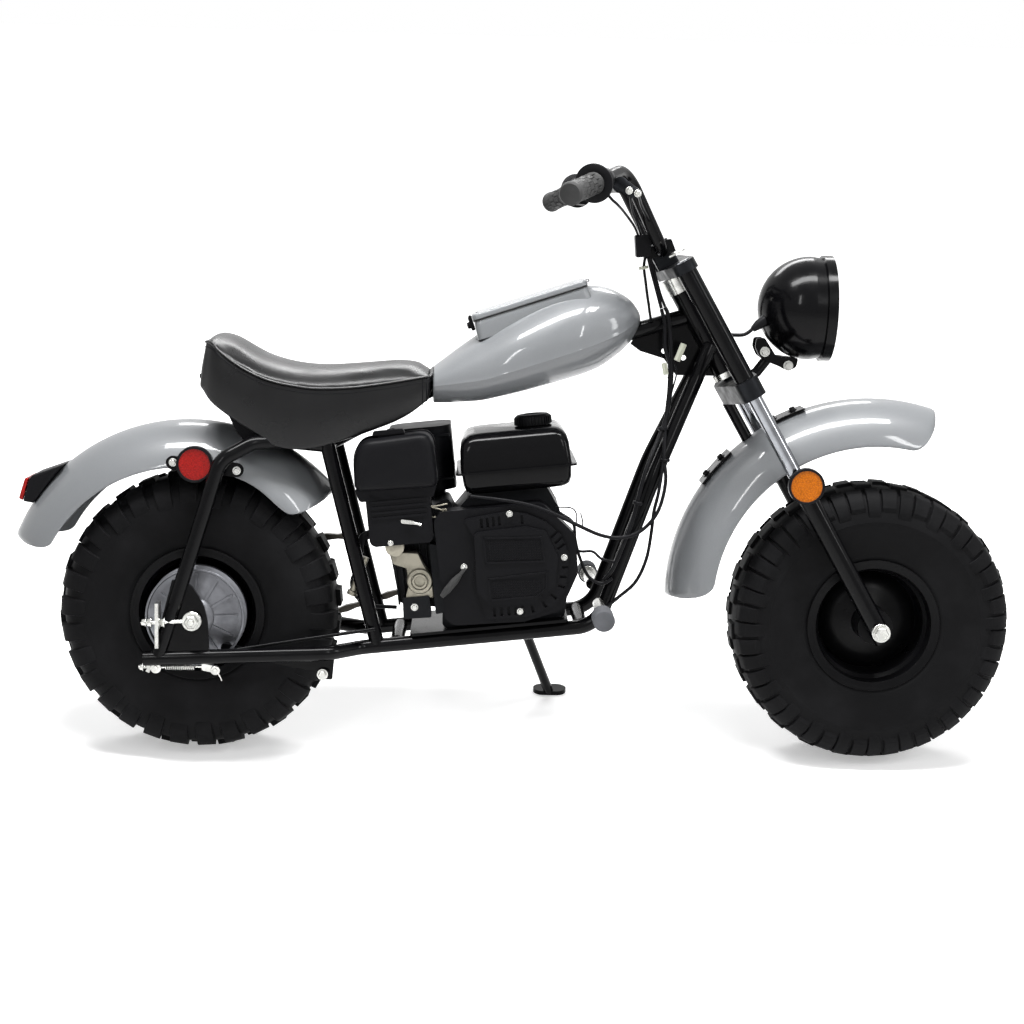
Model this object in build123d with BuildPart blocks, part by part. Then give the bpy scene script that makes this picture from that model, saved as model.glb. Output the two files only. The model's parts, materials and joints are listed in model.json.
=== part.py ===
from build123d import *
from math import acos, atan2, cos, degrees, hypot, pi, radians, sin, tan
import os

# Minibike with a tube frame, an open engine, a straight fork, two fat low-pressure tyres and a
# storage box in the cover over the backbone. It is drawn upright, in millimetres: X forward from
# the rear axle, Y to the rider's left, and Z up, with both axles at axle_height. At the end every
# piece is set at the lean that the bike has on its side stand, with its tyres on the ground.

os.makedirs("parts", exist_ok=True)

# Wheels and stance
wheelbase = 1158.0
tyre_diameter = 482.6
tyre_width = 178.0
rim_diameter = 203.2
rim_width = 152.0
rim_flange_height = 13.0
rim_wall = 3.0
parked_lean = 8.0

# Steering head and fork
rake = 30.1
fork_offset = 12.0
fork_half_width = 115.0
stanchion_diameter = 25.0
lower_leg_diameter = 33.0
lower_leg_length = 282.0
cover_diameter = 33.0
cover_wall = 2.5
head_tube_diameter = 45.0
head_tube_bottom = 502.0
head_tube_length = 156.0
stem_diameter = 22.0
lower_yoke_bottom = 452.0
lower_yoke_thickness = 34.0
upper_yoke_bottom = 690.0
upper_yoke_thickness = 18.0

# Frame tubes
frame_tube = 25.0
backbone_tube = 28.0
engine_bay_half_width = 84.0
rear_rail_half_width = 130.0

# Axles
axle_diameter = 16.0
nut_across_flats = 24.0
nut_height = 12.0
front_axle_reach = 148.0
rear_axle_reach = 152.0

# Clearances
seat_gap = 0.3
turning_gap = 0.5

tyre_radius = tyre_diameter / 2
rim_radius = rim_diameter / 2
tube_r = frame_tube / 2
rail_y = engine_bay_half_width
rear_y = rear_rail_half_width
stanchion_r = stanchion_diameter / 2
lower_leg_r = lower_leg_diameter / 2
head_r = head_tube_diameter / 2
stem_r = stem_diameter / 2
axle_r = axle_diameter / 2

rear_axle_at = Vector(0, 0, 241.3)
axle_height = rear_axle_at.Z
front_axle_at = Vector(wheelbase, 0, axle_height)

# The fork's own frame: Z up along the legs from the front axle, X ahead of them, Y to the left
fork = Plane(
    origin=front_axle_at,
    x_dir=(cos(radians(rake)), 0, sin(radians(rake))),
    z_dir=(-sin(radians(rake)), 0, cos(radians(rake))),
)


def side_view(y=0.0):
    """The plane of a side outline at a place across the bike: its X is forward and its Y is up."""
    return Plane(origin=(0, y, 0), x_dir=(1, 0, 0), z_dir=(0, -1, 0))


def on_fork(ahead, across, up):
    """A point given in the fork's own frame."""
    return fork.from_local_coords(Vector(ahead, across, up))


def bent_tube(points, bends, diameter):
    """Adds a tube along straight runs, with an arc of its own radius at each corner."""
    with BuildLine(mode=Mode.PRIVATE) as run:
        if len(points) > 2:
            FilletPolyline(*points, radius=bends)
        else:
            Line(*points)
    with BuildSketch(Plane(run.line @ 0, z_dir=run.line % 0), mode=Mode.PRIVATE) as ring:
        Circle(diameter / 2)
    sweep(ring.sketch, path=run.line)


def bar_between(start, end, diameter, mode=Mode.ADD):
    """Adds or cuts a straight round bar between two points."""
    start, end = Vector(*start), Vector(*end)
    with BuildSketch(Plane(start, z_dir=end - start), mode=Mode.PRIVATE) as disc:
        Circle(diameter / 2)
    extrude(disc.sketch, amount=(end - start).length, mode=mode)


def cope(start, end, diameter=frame_tube):
    """Cuts the saddle in a tube's end where it is welded to another tube."""
    start, end = Vector(*start), Vector(*end)
    beyond = (end - start).normalized() * 20
    bar_between(start - beyond, end + beyond, diameter + 2 * seat_gap, Mode.SUBTRACT)


def cross_disc(x, z, y_from, y_to, diameter, mode=Mode.ADD):
    """Adds or cuts a disc or pin that lies across the bike."""
    bar_between((x, y_from, z), (x, y_to, z), diameter, mode)


def side_plate(outline, y_from, y_to, corner=0.0):
    """Adds a plate cut to a side outline, between two places across the bike."""
    with BuildSketch(side_view(y_to), mode=Mode.PRIVATE) as face:
        with BuildLine():
            Polyline(*outline, close=True)
        make_face()
        if corner:
            fillet(face.vertices(), corner)
    extrude(face.sketch, amount=y_to - y_from)


def nut(x, z, y_from, outward, height=nut_height, across=nut_across_flats):
    """Adds a hexagon nut on a cross axle, standing outward from a face."""
    with BuildSketch(side_view(y_from), mode=Mode.PRIVATE) as hexagon:
        with Locations((x, z)):
            RegularPolygon(across / 2, 6, major_radius=False)
    extrude(hexagon.sketch, amount=-height * outward)


# Wheels. A tyre is a stack of rings across the bike: three tread bands with lugs round them, less
# the dished walls, the air space and the bore on the rim. Lugs are staggered from band to band.
bead_half = rim_width / 2 - rim_wall
bead_radius = rim_radius + seat_gap
bead_width = 12.0
lug_flank = 0.06
lug_share = 0.5 - lug_flank
tyre_sides = 30
cavity_sides = 14

# Columns are the place across and the lug tips' radius, from the left edge of the middle band
tread = ((36.0, tyre_radius), (72.0, tyre_radius - 10), (tyre_width / 2, tyre_radius - 37))
# Columns are the place across and the radius of the wall's dish
dish = (
    (bead_half - 1, bead_radius + rim_flange_height),
    (tyre_width / 2 - 3, tyre_radius * 0.60),
    (tyre_width / 2 + 1, tyre_radius * 0.77),
)
# Columns are the place across and the radius of the air space
cavity = ((bead_half - bead_width, tyre_radius * 0.66), (bead_half - 22, tyre_radius * 0.88))


def ring_face(centre, across, corners):
    """A side outline round a wheel's axle, from (angle in degrees, radius) corners."""
    with BuildSketch(side_view(across), mode=Mode.PRIVATE) as face:
        with BuildLine():
            Polyline(
                *[
                    (centre.X + r * cos(radians(angle)), centre.Z + r * sin(radians(angle)))
                    for angle, r in corners
                ],
                close=True,
            )
        make_face()
    return face.sketch


def lug_corners(tip, root, lugs, turn):
    """Four corners to a lug, the first lug at the bottom of the wheel."""
    steps = (
        (-lug_share / 2, tip),
        (lug_share / 2, tip),
        (lug_share / 2 + lug_flank, root),
        (1 - lug_share / 2 - lug_flank, root),
    )
    return [(360 / lugs * (k + turn + step) - 90, r) for k in range(lugs) for step, r in steps]


def flat_corners(radius, sides):
    """A regular outline whose flats lie at a radius."""
    return [(360 / sides * k, radius / cos(radians(180 / sides))) for k in range(sides)]


def tyre(centre, lugs, lug_depth):
    """Adds a tyre with a number of lugs round each tread band, out to the lugs' tips."""
    middle = [(-tread[0][0], tread[0][1]), tread[0]]
    right = [(-across, tip) for across, tip in tread]
    for band, turn in ((middle, 0.0), (tread, 0.5), (right, 0.5)):
        rings = []
        for across, tip in band:
            root = tip * (1 - lug_depth / tyre_radius)
            rings.append(ring_face(centre, across, lug_corners(tip, root, lugs, turn)))
        loft(rings, ruled=True, clean=False)
    for side in (-1, 1):
        rings = [ring_face(centre, y * side, flat_corners(r, tyre_sides)) for y, r in dish]
        loft(rings, ruled=True, clean=False, mode=Mode.SUBTRACT)
    rows = [(-y, r) for y, r in cavity] + [(y, r) for y, r in reversed(cavity)]
    rings = [ring_face(centre, y, flat_corners(r, cavity_sides)) for y, r in rows]
    loft(rings, ruled=True, clean=False, mode=Mode.SUBTRACT)
    rings = [
        ring_face(centre, y, flat_corners(bead_radius, tyre_sides)) for y in (-bead_half, bead_half)
    ]
    loft(rings, ruled=True, clean=False, mode=Mode.SUBTRACT)


with BuildPart() as rear_tyre:
    tyre(rear_axle_at, lugs=30, lug_depth=8)

with BuildPart() as front_tyre:
    tyre(front_axle_at, lugs=24, lug_depth=5)

hub_radius = 30.0
hub_half_length = 88.0
hub_bore_r = axle_r + turning_gap
wheel_disc_wall = 4.0
wheel_disc_y = 22.0


def rim(centre, hub_right, hub_left, disc_y):
    """Adds a pressed-steel rim: flanges, a well, a dished disc and the hub that it is bolted to."""
    flange_r = rim_radius + rim_flange_height
    half = rim_width / 2
    with BuildSketch(Plane.XY, mode=Mode.PRIVATE) as section:
        with BuildLine():
            Polyline(
                (rim_radius, half - rim_wall),
                (flange_r, half - rim_wall),
                (flange_r, half),
                (rim_radius - rim_wall, half),
                (rim_radius - rim_wall, disc_y + 2 * wheel_disc_wall),
                (hub_radius, disc_y - wheel_disc_y + wheel_disc_wall),
                (hub_radius, hub_left),
                (hub_bore_r, hub_left),
                (hub_bore_r, -hub_right),
                (hub_radius, -hub_right),
                (hub_radius, disc_y - wheel_disc_y),
                (rim_radius - rim_wall, disc_y + wheel_disc_wall),
                (rim_radius - rim_wall, -half),
                (flange_r, -half),
                (flange_r, rim_wall - half),
                (rim_radius, rim_wall - half),
                close=True,
            )
        make_face()
    placed = Pos(centre.X, 0, centre.Z) * section.sketch
    revolve(placed, axis=Axis(centre, (0, 1, 0)))


brake_panel_radius = 84.0
brake_panel_inner_y = 62.0

with BuildPart() as rear_rim:
    rim(rear_axle_at, brake_panel_inner_y - 8, hub_half_length, 10.0)

with BuildPart() as front_rim:
    rim(front_axle_at, hub_half_length, hub_half_length, -14.0)

# Chain drive on the left side: a fixed loop that the sprockets run inside
chain_y = 108.0
chain_width = 14.0
chain_height = 12.0
chain_links = 38
chain_waist = 0.66
sprocket_radius = 98.0
drive_sprocket_radius = 24.0
crank_x = 525.0
rail_slope = 0.1126
rail_corner = Vector(681, -rail_y, 235)
mount_plate = 5.0
engine_base_depth = 106.0
engine_tilt = atan2(rail_slope, 1)
crank_over_rail = tube_r + mount_plate + engine_base_depth + 2 * seat_gap
crank_at = Vector(
    crank_x,
    0,
    rail_corner.Z - rail_slope * (rail_corner.X - crank_x) + crank_over_rail / cos(engine_tilt),
)
sprocket_width = 5.0

with BuildPart() as rear_sprocket:
    with BuildSketch(side_view(chain_y - sprocket_width / 2)):
        with Locations((0, axle_height)):
            Circle(sprocket_radius - chain_height / 2 - 1)
            Circle(hub_radius + 12, mode=Mode.SUBTRACT)
            with PolarLocations(68, 6):
                Circle(13, mode=Mode.SUBTRACT)
    extrude(amount=-sprocket_width)
    with BuildSketch(side_view(hub_half_length + seat_gap)):
        with Locations((0, axle_height)):
            Circle(hub_radius + 14)
            Circle(hub_bore_r, mode=Mode.SUBTRACT)
    extrude(amount=-(chain_y + sprocket_width / 2 - hub_half_length - seat_gap))


def chain_outline(stand_off):
    """The loop round the two sprockets, off its pitch line, waisted between the links' pins."""
    span = crank_at - rear_axle_at
    along = atan2(span.Z, span.X)
    wrap = acos((sprocket_radius - drive_sprocket_radius) / span.length)
    run = (span.length**2 - (sprocket_radius - drive_sprocket_radius) ** 2) ** 0.5
    big_arc = sprocket_radius * (2 * pi - 2 * wrap)
    small_arc = drive_sprocket_radius * 2 * wrap
    points = []
    for k in range(2 * chain_links):
        at = (2 * run + big_arc + small_arc) * k / (2 * chain_links)
        if at < run:
            angle, hub, radius, ahead = along + wrap, rear_axle_at, sprocket_radius, at
        elif at < run + small_arc:
            angle = along + wrap - (at - run) / drive_sprocket_radius
            hub, radius, ahead = crank_at, drive_sprocket_radius, 0
        elif at < 2 * run + small_arc:
            angle, hub, radius = along - wrap, crank_at, drive_sprocket_radius
            ahead = at - run - small_arc
        else:
            angle = along - wrap - (at - 2 * run - small_arc) / sprocket_radius
            hub, radius, ahead = rear_axle_at, sprocket_radius, 0
        reach = radius + stand_off * (1 if k % 2 else chain_waist)
        points.append(
            (
                hub.X + reach * cos(angle) + ahead * sin(angle),
                hub.Z + reach * sin(angle) - ahead * cos(angle),
            )
        )
    with BuildSketch(side_view(chain_y - chain_width / 2), mode=Mode.PRIVATE) as outline:
        with BuildLine():
            Polyline(*points, close=True)
        make_face()
    return outline.sketch


with BuildPart() as chain:
    extrude(chain_outline(chain_height / 2), amount=-chain_width)
    extrude(chain_outline(-chain_height / 2), amount=-chain_width, mode=Mode.SUBTRACT)

# Frame

head_top = head_tube_bottom + head_tube_length
bearing_cup_height = 10.0
top_cup_height = 28.0

with BuildPart() as head_tube:
    with BuildSketch(fork.offset(head_tube_bottom)):
        with Locations((-fork_offset, 0)):
            Circle(head_r)
            Circle(stem_r + 3, mode=Mode.SUBTRACT)
    extrude(amount=head_tube_length)

with BuildPart() as head_bearings:
    for bottom, height in (
        (head_tube_bottom - bearing_cup_height, bearing_cup_height),
        (head_top, top_cup_height),
    ):
        with BuildSketch(fork.offset(bottom)):
            with Locations((-fork_offset, 0)):
                Circle(head_r + 3)
                Circle(stem_r + turning_gap, mode=Mode.SUBTRACT)
        extrude(amount=height)

# Backbone: from the head tube back under the cover, then down to the tube between the seat posts
backbone_head_up = 612.0
seat_cross_x = 218.0
seat_cross_z = 532.0
backbone_bend = Vector(400, 0, 633)
backbone_head = on_fork(-fork_offset, 0, backbone_head_up)
head_axis = (on_fork(-fork_offset, 0, head_tube_bottom), on_fork(-fork_offset, 0, head_top))
gusset_half = 3.0
# The gusset under the backbone and its two holes, as (ahead of, above) the backbone's front end
gusset = ((-110, -53), (-93, -65), (-52, -77), (-30, -105), (64, -105), (-6, -3), (-93, -23))
gusset_holes = ((-52, -64), (-18, -75))

with BuildPart() as backbone:
    bent_tube(
        [backbone_head, backbone_bend, Vector(seat_cross_x, 0, seat_cross_z)], [120], backbone_tube
    )
    side_plate(
        [(backbone_head.X + x, backbone_head.Z + z) for x, z in gusset], -gusset_half, gusset_half
    )
    for x, z in gusset_holes:
        cross_disc(backbone_head.X + x, backbone_head.Z + z, -10, 10, 9, Mode.SUBTRACT)
    cope(*head_axis, head_tube_diameter)
    cope((seat_cross_x, -rail_y, seat_cross_z), (seat_cross_x, rail_y, seat_cross_z))

# Down tubes and lower rails, on the right side
down_top = on_fork(-16.6, -20, 553.7)
down_bend = Vector(775, -rail_y, 504)
rail_front = rail_corner - Vector(42, 0, 42 * rail_slope)
rail_seat = rail_corner - Vector(400, 0, 400 * rail_slope)
rail_out = Vector(226, -rear_y, 188)
rail_back = Vector(-82, -rear_y, 174)
rail_mouth = 30.0

with BuildPart() as down_tubes:
    bent_tube([down_top, down_bend, rail_corner, rail_front], [180, 55], frame_tube)
    cope(*head_axis, head_tube_diameter)
    add(backbone.part, mode=Mode.SUBTRACT)
    mirror(about=Plane.XZ)

with BuildPart() as lower_rail_right:
    bent_tube([rail_front, rail_seat, rail_out, rail_back], [40, 40], frame_tube)
    mouth_end = rail_back + (rail_out - rail_back).normalized() * rail_mouth
    bar_between(rail_back, mouth_end, frame_tube - 5, Mode.SUBTRACT)

with BuildPart() as lower_rail_left:
    mirror(lower_rail_right.part, about=Plane.XZ)

# Seat posts lean back from the rails to the tube that crosses under the seat
post_foot = Vector(307, -rail_y, rail_seat.Z + 7)
post_top = Vector(seat_cross_x, -rail_y, 541)
rail_bars = [(rail_front, rail_seat), (rail_seat, rail_out), (rail_out, rail_back)]

with BuildPart() as seat_posts:
    bar_between(post_top, post_foot, frame_tube)
    for start, end in rail_bars[:2]:
        cope(start, end)
    mirror(about=Plane.XZ)

crossbars = ((seat_cross_x, seat_cross_z), (rail_seat.X + 60, rail_seat.Z + 60 * rail_slope), (655, 232))
with BuildPart() as frame_crossbars:
    for x, z in crossbars:
        end = rail_y - tube_r - seat_gap
        cross_disc(x, z, -end, end, frame_tube)

# Rear stays rise from the rails' open ends and turn forward under the seat
stay_foot = Vector(-57, -rear_y, 179)
stay_bend = Vector(46, -rear_y, 512)
stay_knee = Vector(98, -112, 540)
stay_front = Vector(150, -rail_y, 541)
stay_end = Vector(seat_cross_x - 6, -rail_y, 536)

with BuildPart() as rear_stay_right:
    bent_tube([stay_foot, stay_bend, stay_knee, stay_front, stay_end], [40, 40, 40], frame_tube)
    cope(*rail_bars[2])
    cope(post_top, post_foot)

with BuildPart() as rear_stay_left:
    mirror(rear_stay_right.part, about=Plane.XZ)

# Axle plates between stay and rail, with the chain adjusters
plate_thickness = 6.0
plate_y = rear_y - plate_thickness / 2

with BuildPart() as axle_plate_right:
    side_plate(
        [(-17, 308), (-4, 300), (12, 280), (20, 250), (26, 184), (-55, 184)],
        -plate_y - plate_thickness,
        -plate_y,
    )
    cope(stay_foot, stay_bend)
    cope(*rail_bars[2])
    cross_disc(0, axle_height, -rear_axle_reach, 0, axle_diameter + 2 * seat_gap, Mode.SUBTRACT)

with BuildPart() as axle_plate_left:
    mirror(axle_plate_right.part, about=Plane.XZ)

with BuildPart() as rear_axle:
    cross_disc(0, axle_height, -rear_axle_reach, rear_axle_reach, axle_diameter)
    for outward in (-1, 1):
        nut(0, axle_height, outward * (plate_y + plate_thickness + seat_gap), outward)

with BuildPart() as axle_spacers:
    for start, end in (
        (-plate_y + seat_gap, -brake_panel_inner_y - 44 - seat_gap),
        (plate_y - seat_gap, chain_y + sprocket_width / 2 + 2),
    ):
        cross_disc(0, axle_height, start, end, axle_diameter + 12)
        cross_disc(0, axle_height, start, end, axle_diameter + 2 * seat_gap, Mode.SUBTRACT)

with BuildPart() as plain_panel:
    with BuildSketch(Plane.XY) as panel_section:
        with BuildLine():
            Polyline(
                (axle_r + seat_gap, -brake_panel_inner_y - 44),
                (axle_r + seat_gap, -brake_panel_inner_y),
                (brake_panel_radius, -brake_panel_inner_y),
                (brake_panel_radius, -brake_panel_inner_y - 14),
                (brake_panel_radius - 10, -brake_panel_inner_y - 18),
                (26, -brake_panel_inner_y - 34),
                (22, -brake_panel_inner_y - 44),
                close=True,
            )
        make_face()
    revolve(
        Pos(0, 0, axle_height) * panel_section.sketch,
        axis=Axis(rear_axle_at, (0, 1, 0)),
        mode=Mode.ADD,
    )

brake_ribs = 12
sidewall_clear = tyre_width / 2 + 6
with BuildPart(mode=Mode.PRIVATE) as brake_rib:
    with BuildSketch(Plane.XY.offset(-2)):
        with BuildLine():
            Polyline((28, -88), (28, -100), (70, -86), (70, -74), close=True)
        make_face()
    extrude(amount=4)
with BuildPart() as brake_panel:
    add(plain_panel.part)
    for k in range(brake_ribs):
        add(Pos(0, 0, axle_height) * Rotation(0, 360 / brake_ribs * k, 0) * brake_rib.part)

# The strap that holds the brake panel from turning, on a bracket under the right rail
strap_rear = (52, axle_height - 54)
strap_front = (222, 154)
with BuildPart() as torque_strap:
    side_plate(
        [
            (strap_rear[0] - 9, strap_rear[1] - 9), (strap_rear[0] - 9, strap_rear[1] + 9),
            (strap_front[0] + 9, strap_front[1] + 9), (strap_front[0] + 9, strap_front[1] - 9),
        ],
        -sidewall_clear - 4, -sidewall_clear, 6,
    )
    cross_disc(*strap_rear, -sidewall_clear, -brake_panel_inner_y - 8, 14)
    cross_disc(*strap_front, -rear_y, -sidewall_clear, 14)
    side_plate(
        [(190, 186), (238, 186), (234, 142), (208, 142)],
        -rear_y + tube_r - 6, -rear_y + tube_r, 3,
    )
    add(brake_panel.part, mode=Mode.SUBTRACT)
    add(lower_rail_right.part, mode=Mode.SUBTRACT)

# Foot pegs
peg_diameter = 36.0
peg_x = 682.0
peg_z = 275.0
peg_reach = 250.0

with BuildPart() as foot_pegs:
    cross_disc(peg_x, peg_z, -peg_reach, -rail_y - 45, peg_diameter)
    cross_disc(peg_x, peg_z, -rail_y - 46, -rail_y, 20)
    add(down_tubes.part, mode=Mode.SUBTRACT)
    mirror(about=Plane.XZ)

# Engine, in its own frame, which is tilted with the rails: X forward and Z up from the crank axis


def engine_side(y):
    """The plane of an engine side outline at a place across the bike."""
    return Plane(
        origin=(crank_at.X, y, crank_at.Z),
        x_dir=(cos(engine_tilt), 0, sin(engine_tilt)),
        z_dir=(0, -1, 0),
    )


def engine_level(up):
    """The plane of an engine plan outline at a height over the crank axis."""
    raised = crank_at + Vector(-sin(engine_tilt), 0, cos(engine_tilt)) * up
    return Plane(
        origin=raised,
        x_dir=(cos(engine_tilt), 0, sin(engine_tilt)),
        z_dir=(-sin(engine_tilt), 0, cos(engine_tilt)),
    )


def engine_slab(outline, y_from, y_to, corner, taper=0.0):
    """Adds an engine casting with a side outline, between two places across the bike."""
    with BuildSketch(engine_side(y_to), mode=Mode.PRIVATE) as face:
        with BuildLine():
            Polyline(*outline, close=True)
        make_face()
        fillet(face.vertices(), corner)
    extrude(face.sketch, amount=y_to - y_from, taper=taper)


def on_engine(x, up):
    """The (X, Z) place of a point given ahead of and over the crank axis."""
    point = engine_side(0).from_local_coords(Vector(x, up))
    return point.X, point.Z


def engine_block(x, y, length, width, corner, up_from, up_to, taper=0.0):
    """Adds an engine box with a plan outline, between two heights over the crank axis."""
    with BuildSketch(engine_level(up_from), mode=Mode.PRIVATE) as plan:
        with Locations((x, y)):
            RectangleRounded(length, width, corner)
    extrude(plan.sketch, amount=up_to - up_from, taper=taper)


with BuildPart() as engine_mount:
    engine_block(
        -40, 0, 270, 2 * rail_y + frame_tube, 8,
        -engine_base_depth - seat_gap - mount_plate, -engine_base_depth - seat_gap,
    )

crankcase_half_width = 70.0
cylinder_half_width = 48.0
cylinder_fins = 7
fin_pitch = 11.0
fin_thickness = 3.0
fin_reach = 9.0
tank_bottom = 120.0
with BuildPart() as crankcase:
    engine_slab(
        [
            (-120, -engine_base_depth), (90, -engine_base_depth), (105, -40), (98, 80),
            (80, tank_bottom - seat_gap), (-50, tank_bottom - seat_gap), (-100, 70),
        ],
        -crankcase_half_width, crankcase_half_width, 8,
    )
    engine_slab([(-190, -60), (-95, -80), (-60, 40), (-90, 115), (-200, 60)],
        -cylinder_half_width, cylinder_half_width, 8,
    )
    for k in range(cylinder_fins):
        engine_block(
            -190 + k * fin_pitch, 0, fin_thickness, 2 * (cylinder_half_width + fin_reach), 1, -62, 46
        )
    cross_disc(*on_engine(-150, -20), -cylinder_half_width - 26, -cylinder_half_width, 18)

# The recoil starter's cover: a fan housing, the starter's shell on it and a raised panel.
# Columns are the side outline, its corner and how far it stands out of the one before.
cover_steps = (
    (((-112, -94), (-116, 100), (68, 100), (120, 40), (118, -25), (84, -86), (20, -99)), 22, 48),
    (
        (
            (-66, 85), (9, 92), (39, 86), (72, 69), (95, 45), (106, 8), (93, -53), (75, -73),
            (36, -89), (-42, -88), (-58, -26), (-48, 49),
        ),
        5,
        8,
    ),
    (((-50, 62), (38, 65), (70, 54), (87, 9), (78, -40), (41, -66), (-33, -65), (-54, -40)), 8, 6),
)
# Air slots through the shell's edge: ahead of and over the crank, length, turn
cover_slots = (
    (-36, 76, 16, 90), (-26, 76, 16, 90), (-16, 77, 16, 90), (-6, 77, 16, 90), (32, 76, 15, 90),
    (84, 47, 18, 41), (90, 36, 16, 38), (93, 25, 14, 34), (97, -11, 10, 0), (93, -27, 12, -8),
    (88, -43, 12, -25), (74, -59, 12, -48), (57, -71, 12, -65), (36, -77, 12, -80),
    (20, -77, 14, 90), (8, -77, 14, 90), (-4, -77, 14, 90), (-16, -77, 14, 90), (-28, -77, 14, 90),
    (-59, 50, 12, -12), (-59, 40, 12, -12), (-58, 30, 12, -12), (-58, 20, 12, -12),
)
slot_width = 4.5
slot_depth = 5.0
with BuildPart() as recoil_cover:
    face_y = -crankcase_half_width - seat_gap
    for outline, corner, rise in cover_steps:
        engine_slab(outline, face_y - rise, face_y, corner)
        face_y -= rise
    shell_y = face_y + cover_steps[2][2]
    with BuildSketch(engine_side(shell_y)):
        for x, up, length, turn in cover_slots:
            with Locations(Location((x, up), turn)):
                Rectangle(length, slot_width)
    extrude(amount=-slot_depth, mode=Mode.SUBTRACT)

with BuildPart() as engine_tank:
    engine_block(31, -8, 190, 200, 30, tank_bottom, 222, 3)
    engine_block(31, -8, 203, 214, 34, 149, 155)
    engine_block(67, -25, 60, 60, 29.9, 222, 240)

with BuildPart() as air_cleaner:
    engine_block(-170, -72, 148, 100, 16, 145, 232, 2)
    engine_block(-170, -72, 153, 104, 16, 145, 151)

with BuildPart() as carburettor:
    engine_slab(
        [(-226, 50), (-118, 50), (-118, 145 - seat_gap), (-226, 145 - seat_gap)],
        -112, -cylinder_half_width - seat_gap, 12,
    )
    for up in (96, 105, 114, 123):
        engine_slab([(-218, up), (-126, up), (-126, up + 4), (-218, up + 4)], -114, -112, 0.5)

with BuildPart() as muffler:
    engine_block(-129, 70, 108, 118, 30, 120, 232)
    with BuildSketch(engine_level(90)):
        with Locations((-110, 60)):
            Circle(15)
    extrude(amount=31)
    add(crankcase.part, mode=Mode.SUBTRACT)

with BuildPart() as clutch:
    cross_disc(crank_at.X, crank_at.Z, crankcase_half_width + seat_gap, chain_y - 12, 60)
    cross_disc(crank_at.X, crank_at.Z, chain_y - 12, chain_y + 10, 2 * drive_sprocket_radius - 14)
    cross_disc(crank_at.X, crank_at.Z, chain_y + 10, chain_y + 32, 110)

# Side stand, on the left
stand_pivot = Vector(560, 118, 196)
stand_splay = 42.0
stand_rake = 15.0
stand_leg_diameter = 18.0
stand_axis = Vector(0, cos(radians(stand_splay)), sin(radians(stand_splay)))
stand_leg_way = Vector(
    sin(radians(stand_rake)),
    cos(radians(stand_rake)) * sin(radians(stand_splay)),
    -cos(radians(stand_rake)) * cos(radians(stand_splay)),
)

# The ground in the upright bike's frame, as it lies once the bike leans on its stand
leaning = Rotation(-parked_lean, 0, 0)
leaning_tyre = leaning * rear_tyre.part
tyre_sink = leaning_tyre.bounding_box().min.Z
ground_normal = Vector(0, sin(radians(-parked_lean)), cos(radians(-parked_lean)))
ground_point = ground_normal * tyre_sink
ground = Plane(origin=ground_point, x_dir=(1, 0, 0), z_dir=ground_normal)
stand_reach = (ground_point - stand_pivot).dot(ground_normal) / stand_leg_way.dot(ground_normal)
stand_foot = stand_pivot + stand_leg_way * stand_reach
foot_thickness = 8.0

with BuildPart() as side_stand:
    bar_between(
        stand_pivot - stand_axis * 12, stand_pivot + stand_axis * 12, stand_leg_diameter + 14
    )
    bar_between(stand_pivot, stand_foot - stand_leg_way * (foot_thickness / 2), stand_leg_diameter)
    foot_centre = ground.to_local_coords(stand_foot)
    with BuildSketch(ground, mode=Mode.PRIVATE) as foot_outline:
        with Locations((foot_centre.X, foot_centre.Y + 8)):
            SlotOverall(62, 40)
    extrude(foot_outline.sketch, amount=foot_thickness)
    split(bisect_by=ground, keep=Keep.TOP)
    bar_between(
        stand_pivot - stand_axis * 20,
        stand_pivot + stand_axis * 20,
        12 + 2 * turning_gap,
        Mode.SUBTRACT,
    )

with BuildPart() as stand_bracket:
    bar_between(stand_pivot - stand_axis * 22, stand_pivot + stand_axis * 18, 12)
    bar_between(stand_pivot - stand_axis * 24, stand_pivot - stand_axis * 13, 30)
    side_plate([(545, 216), (575, 216), (572, 176), (548, 176)], rail_y, rail_y + 12, 4)
    add(lower_rail_left.part, mode=Mode.SUBTRACT)

# Mudguards: columns are centre x, centre z, crown radius, edge radius, half width, wall, and the
# angles of the rear and front ends, counted from forward to up
mudguards = {
    "rear": (-19, axle_height, 325, 252, 98, 3, 36, 158),
    "front": (wheelbase - 5, axle_height + 36, 350, 274, 88, 3, 72, 180),
}
mudguard_corner = 46.0


def mudguard(which, filled=False, mode=Mode.ADD):
    """Adds a half-round shell that follows an arc round the wheel, or the space that it fills."""
    x, z, crown, edge, half, wall, front_end, rear_end = mudguards[which]
    start = radians(front_end)
    section_plane = Plane(
        origin=(x, 0, z), x_dir=(cos(start), 0, sin(start)), z_dir=(-sin(start), 0, cos(start))
    )
    with BuildSketch(section_plane, mode=Mode.PRIVATE) as section:
        with BuildLine():
            ThreePointArc((edge, -half), (crown, 0), (edge, half))
            if filled:
                Line((edge, half), (edge, -half))
            else:
                Line((edge, half), (edge, half - wall))
                ThreePointArc((edge, half - wall), (crown - wall, 0), (edge, wall - half))
                Line((edge, wall - half), (edge, -half))
        make_face()
    revolve(
        section.sketch,
        axis=Axis((x, 0, z), (0, -1, 0)),
        revolution_arc=rear_end - front_end,
        mode=mode,
    )


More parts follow.
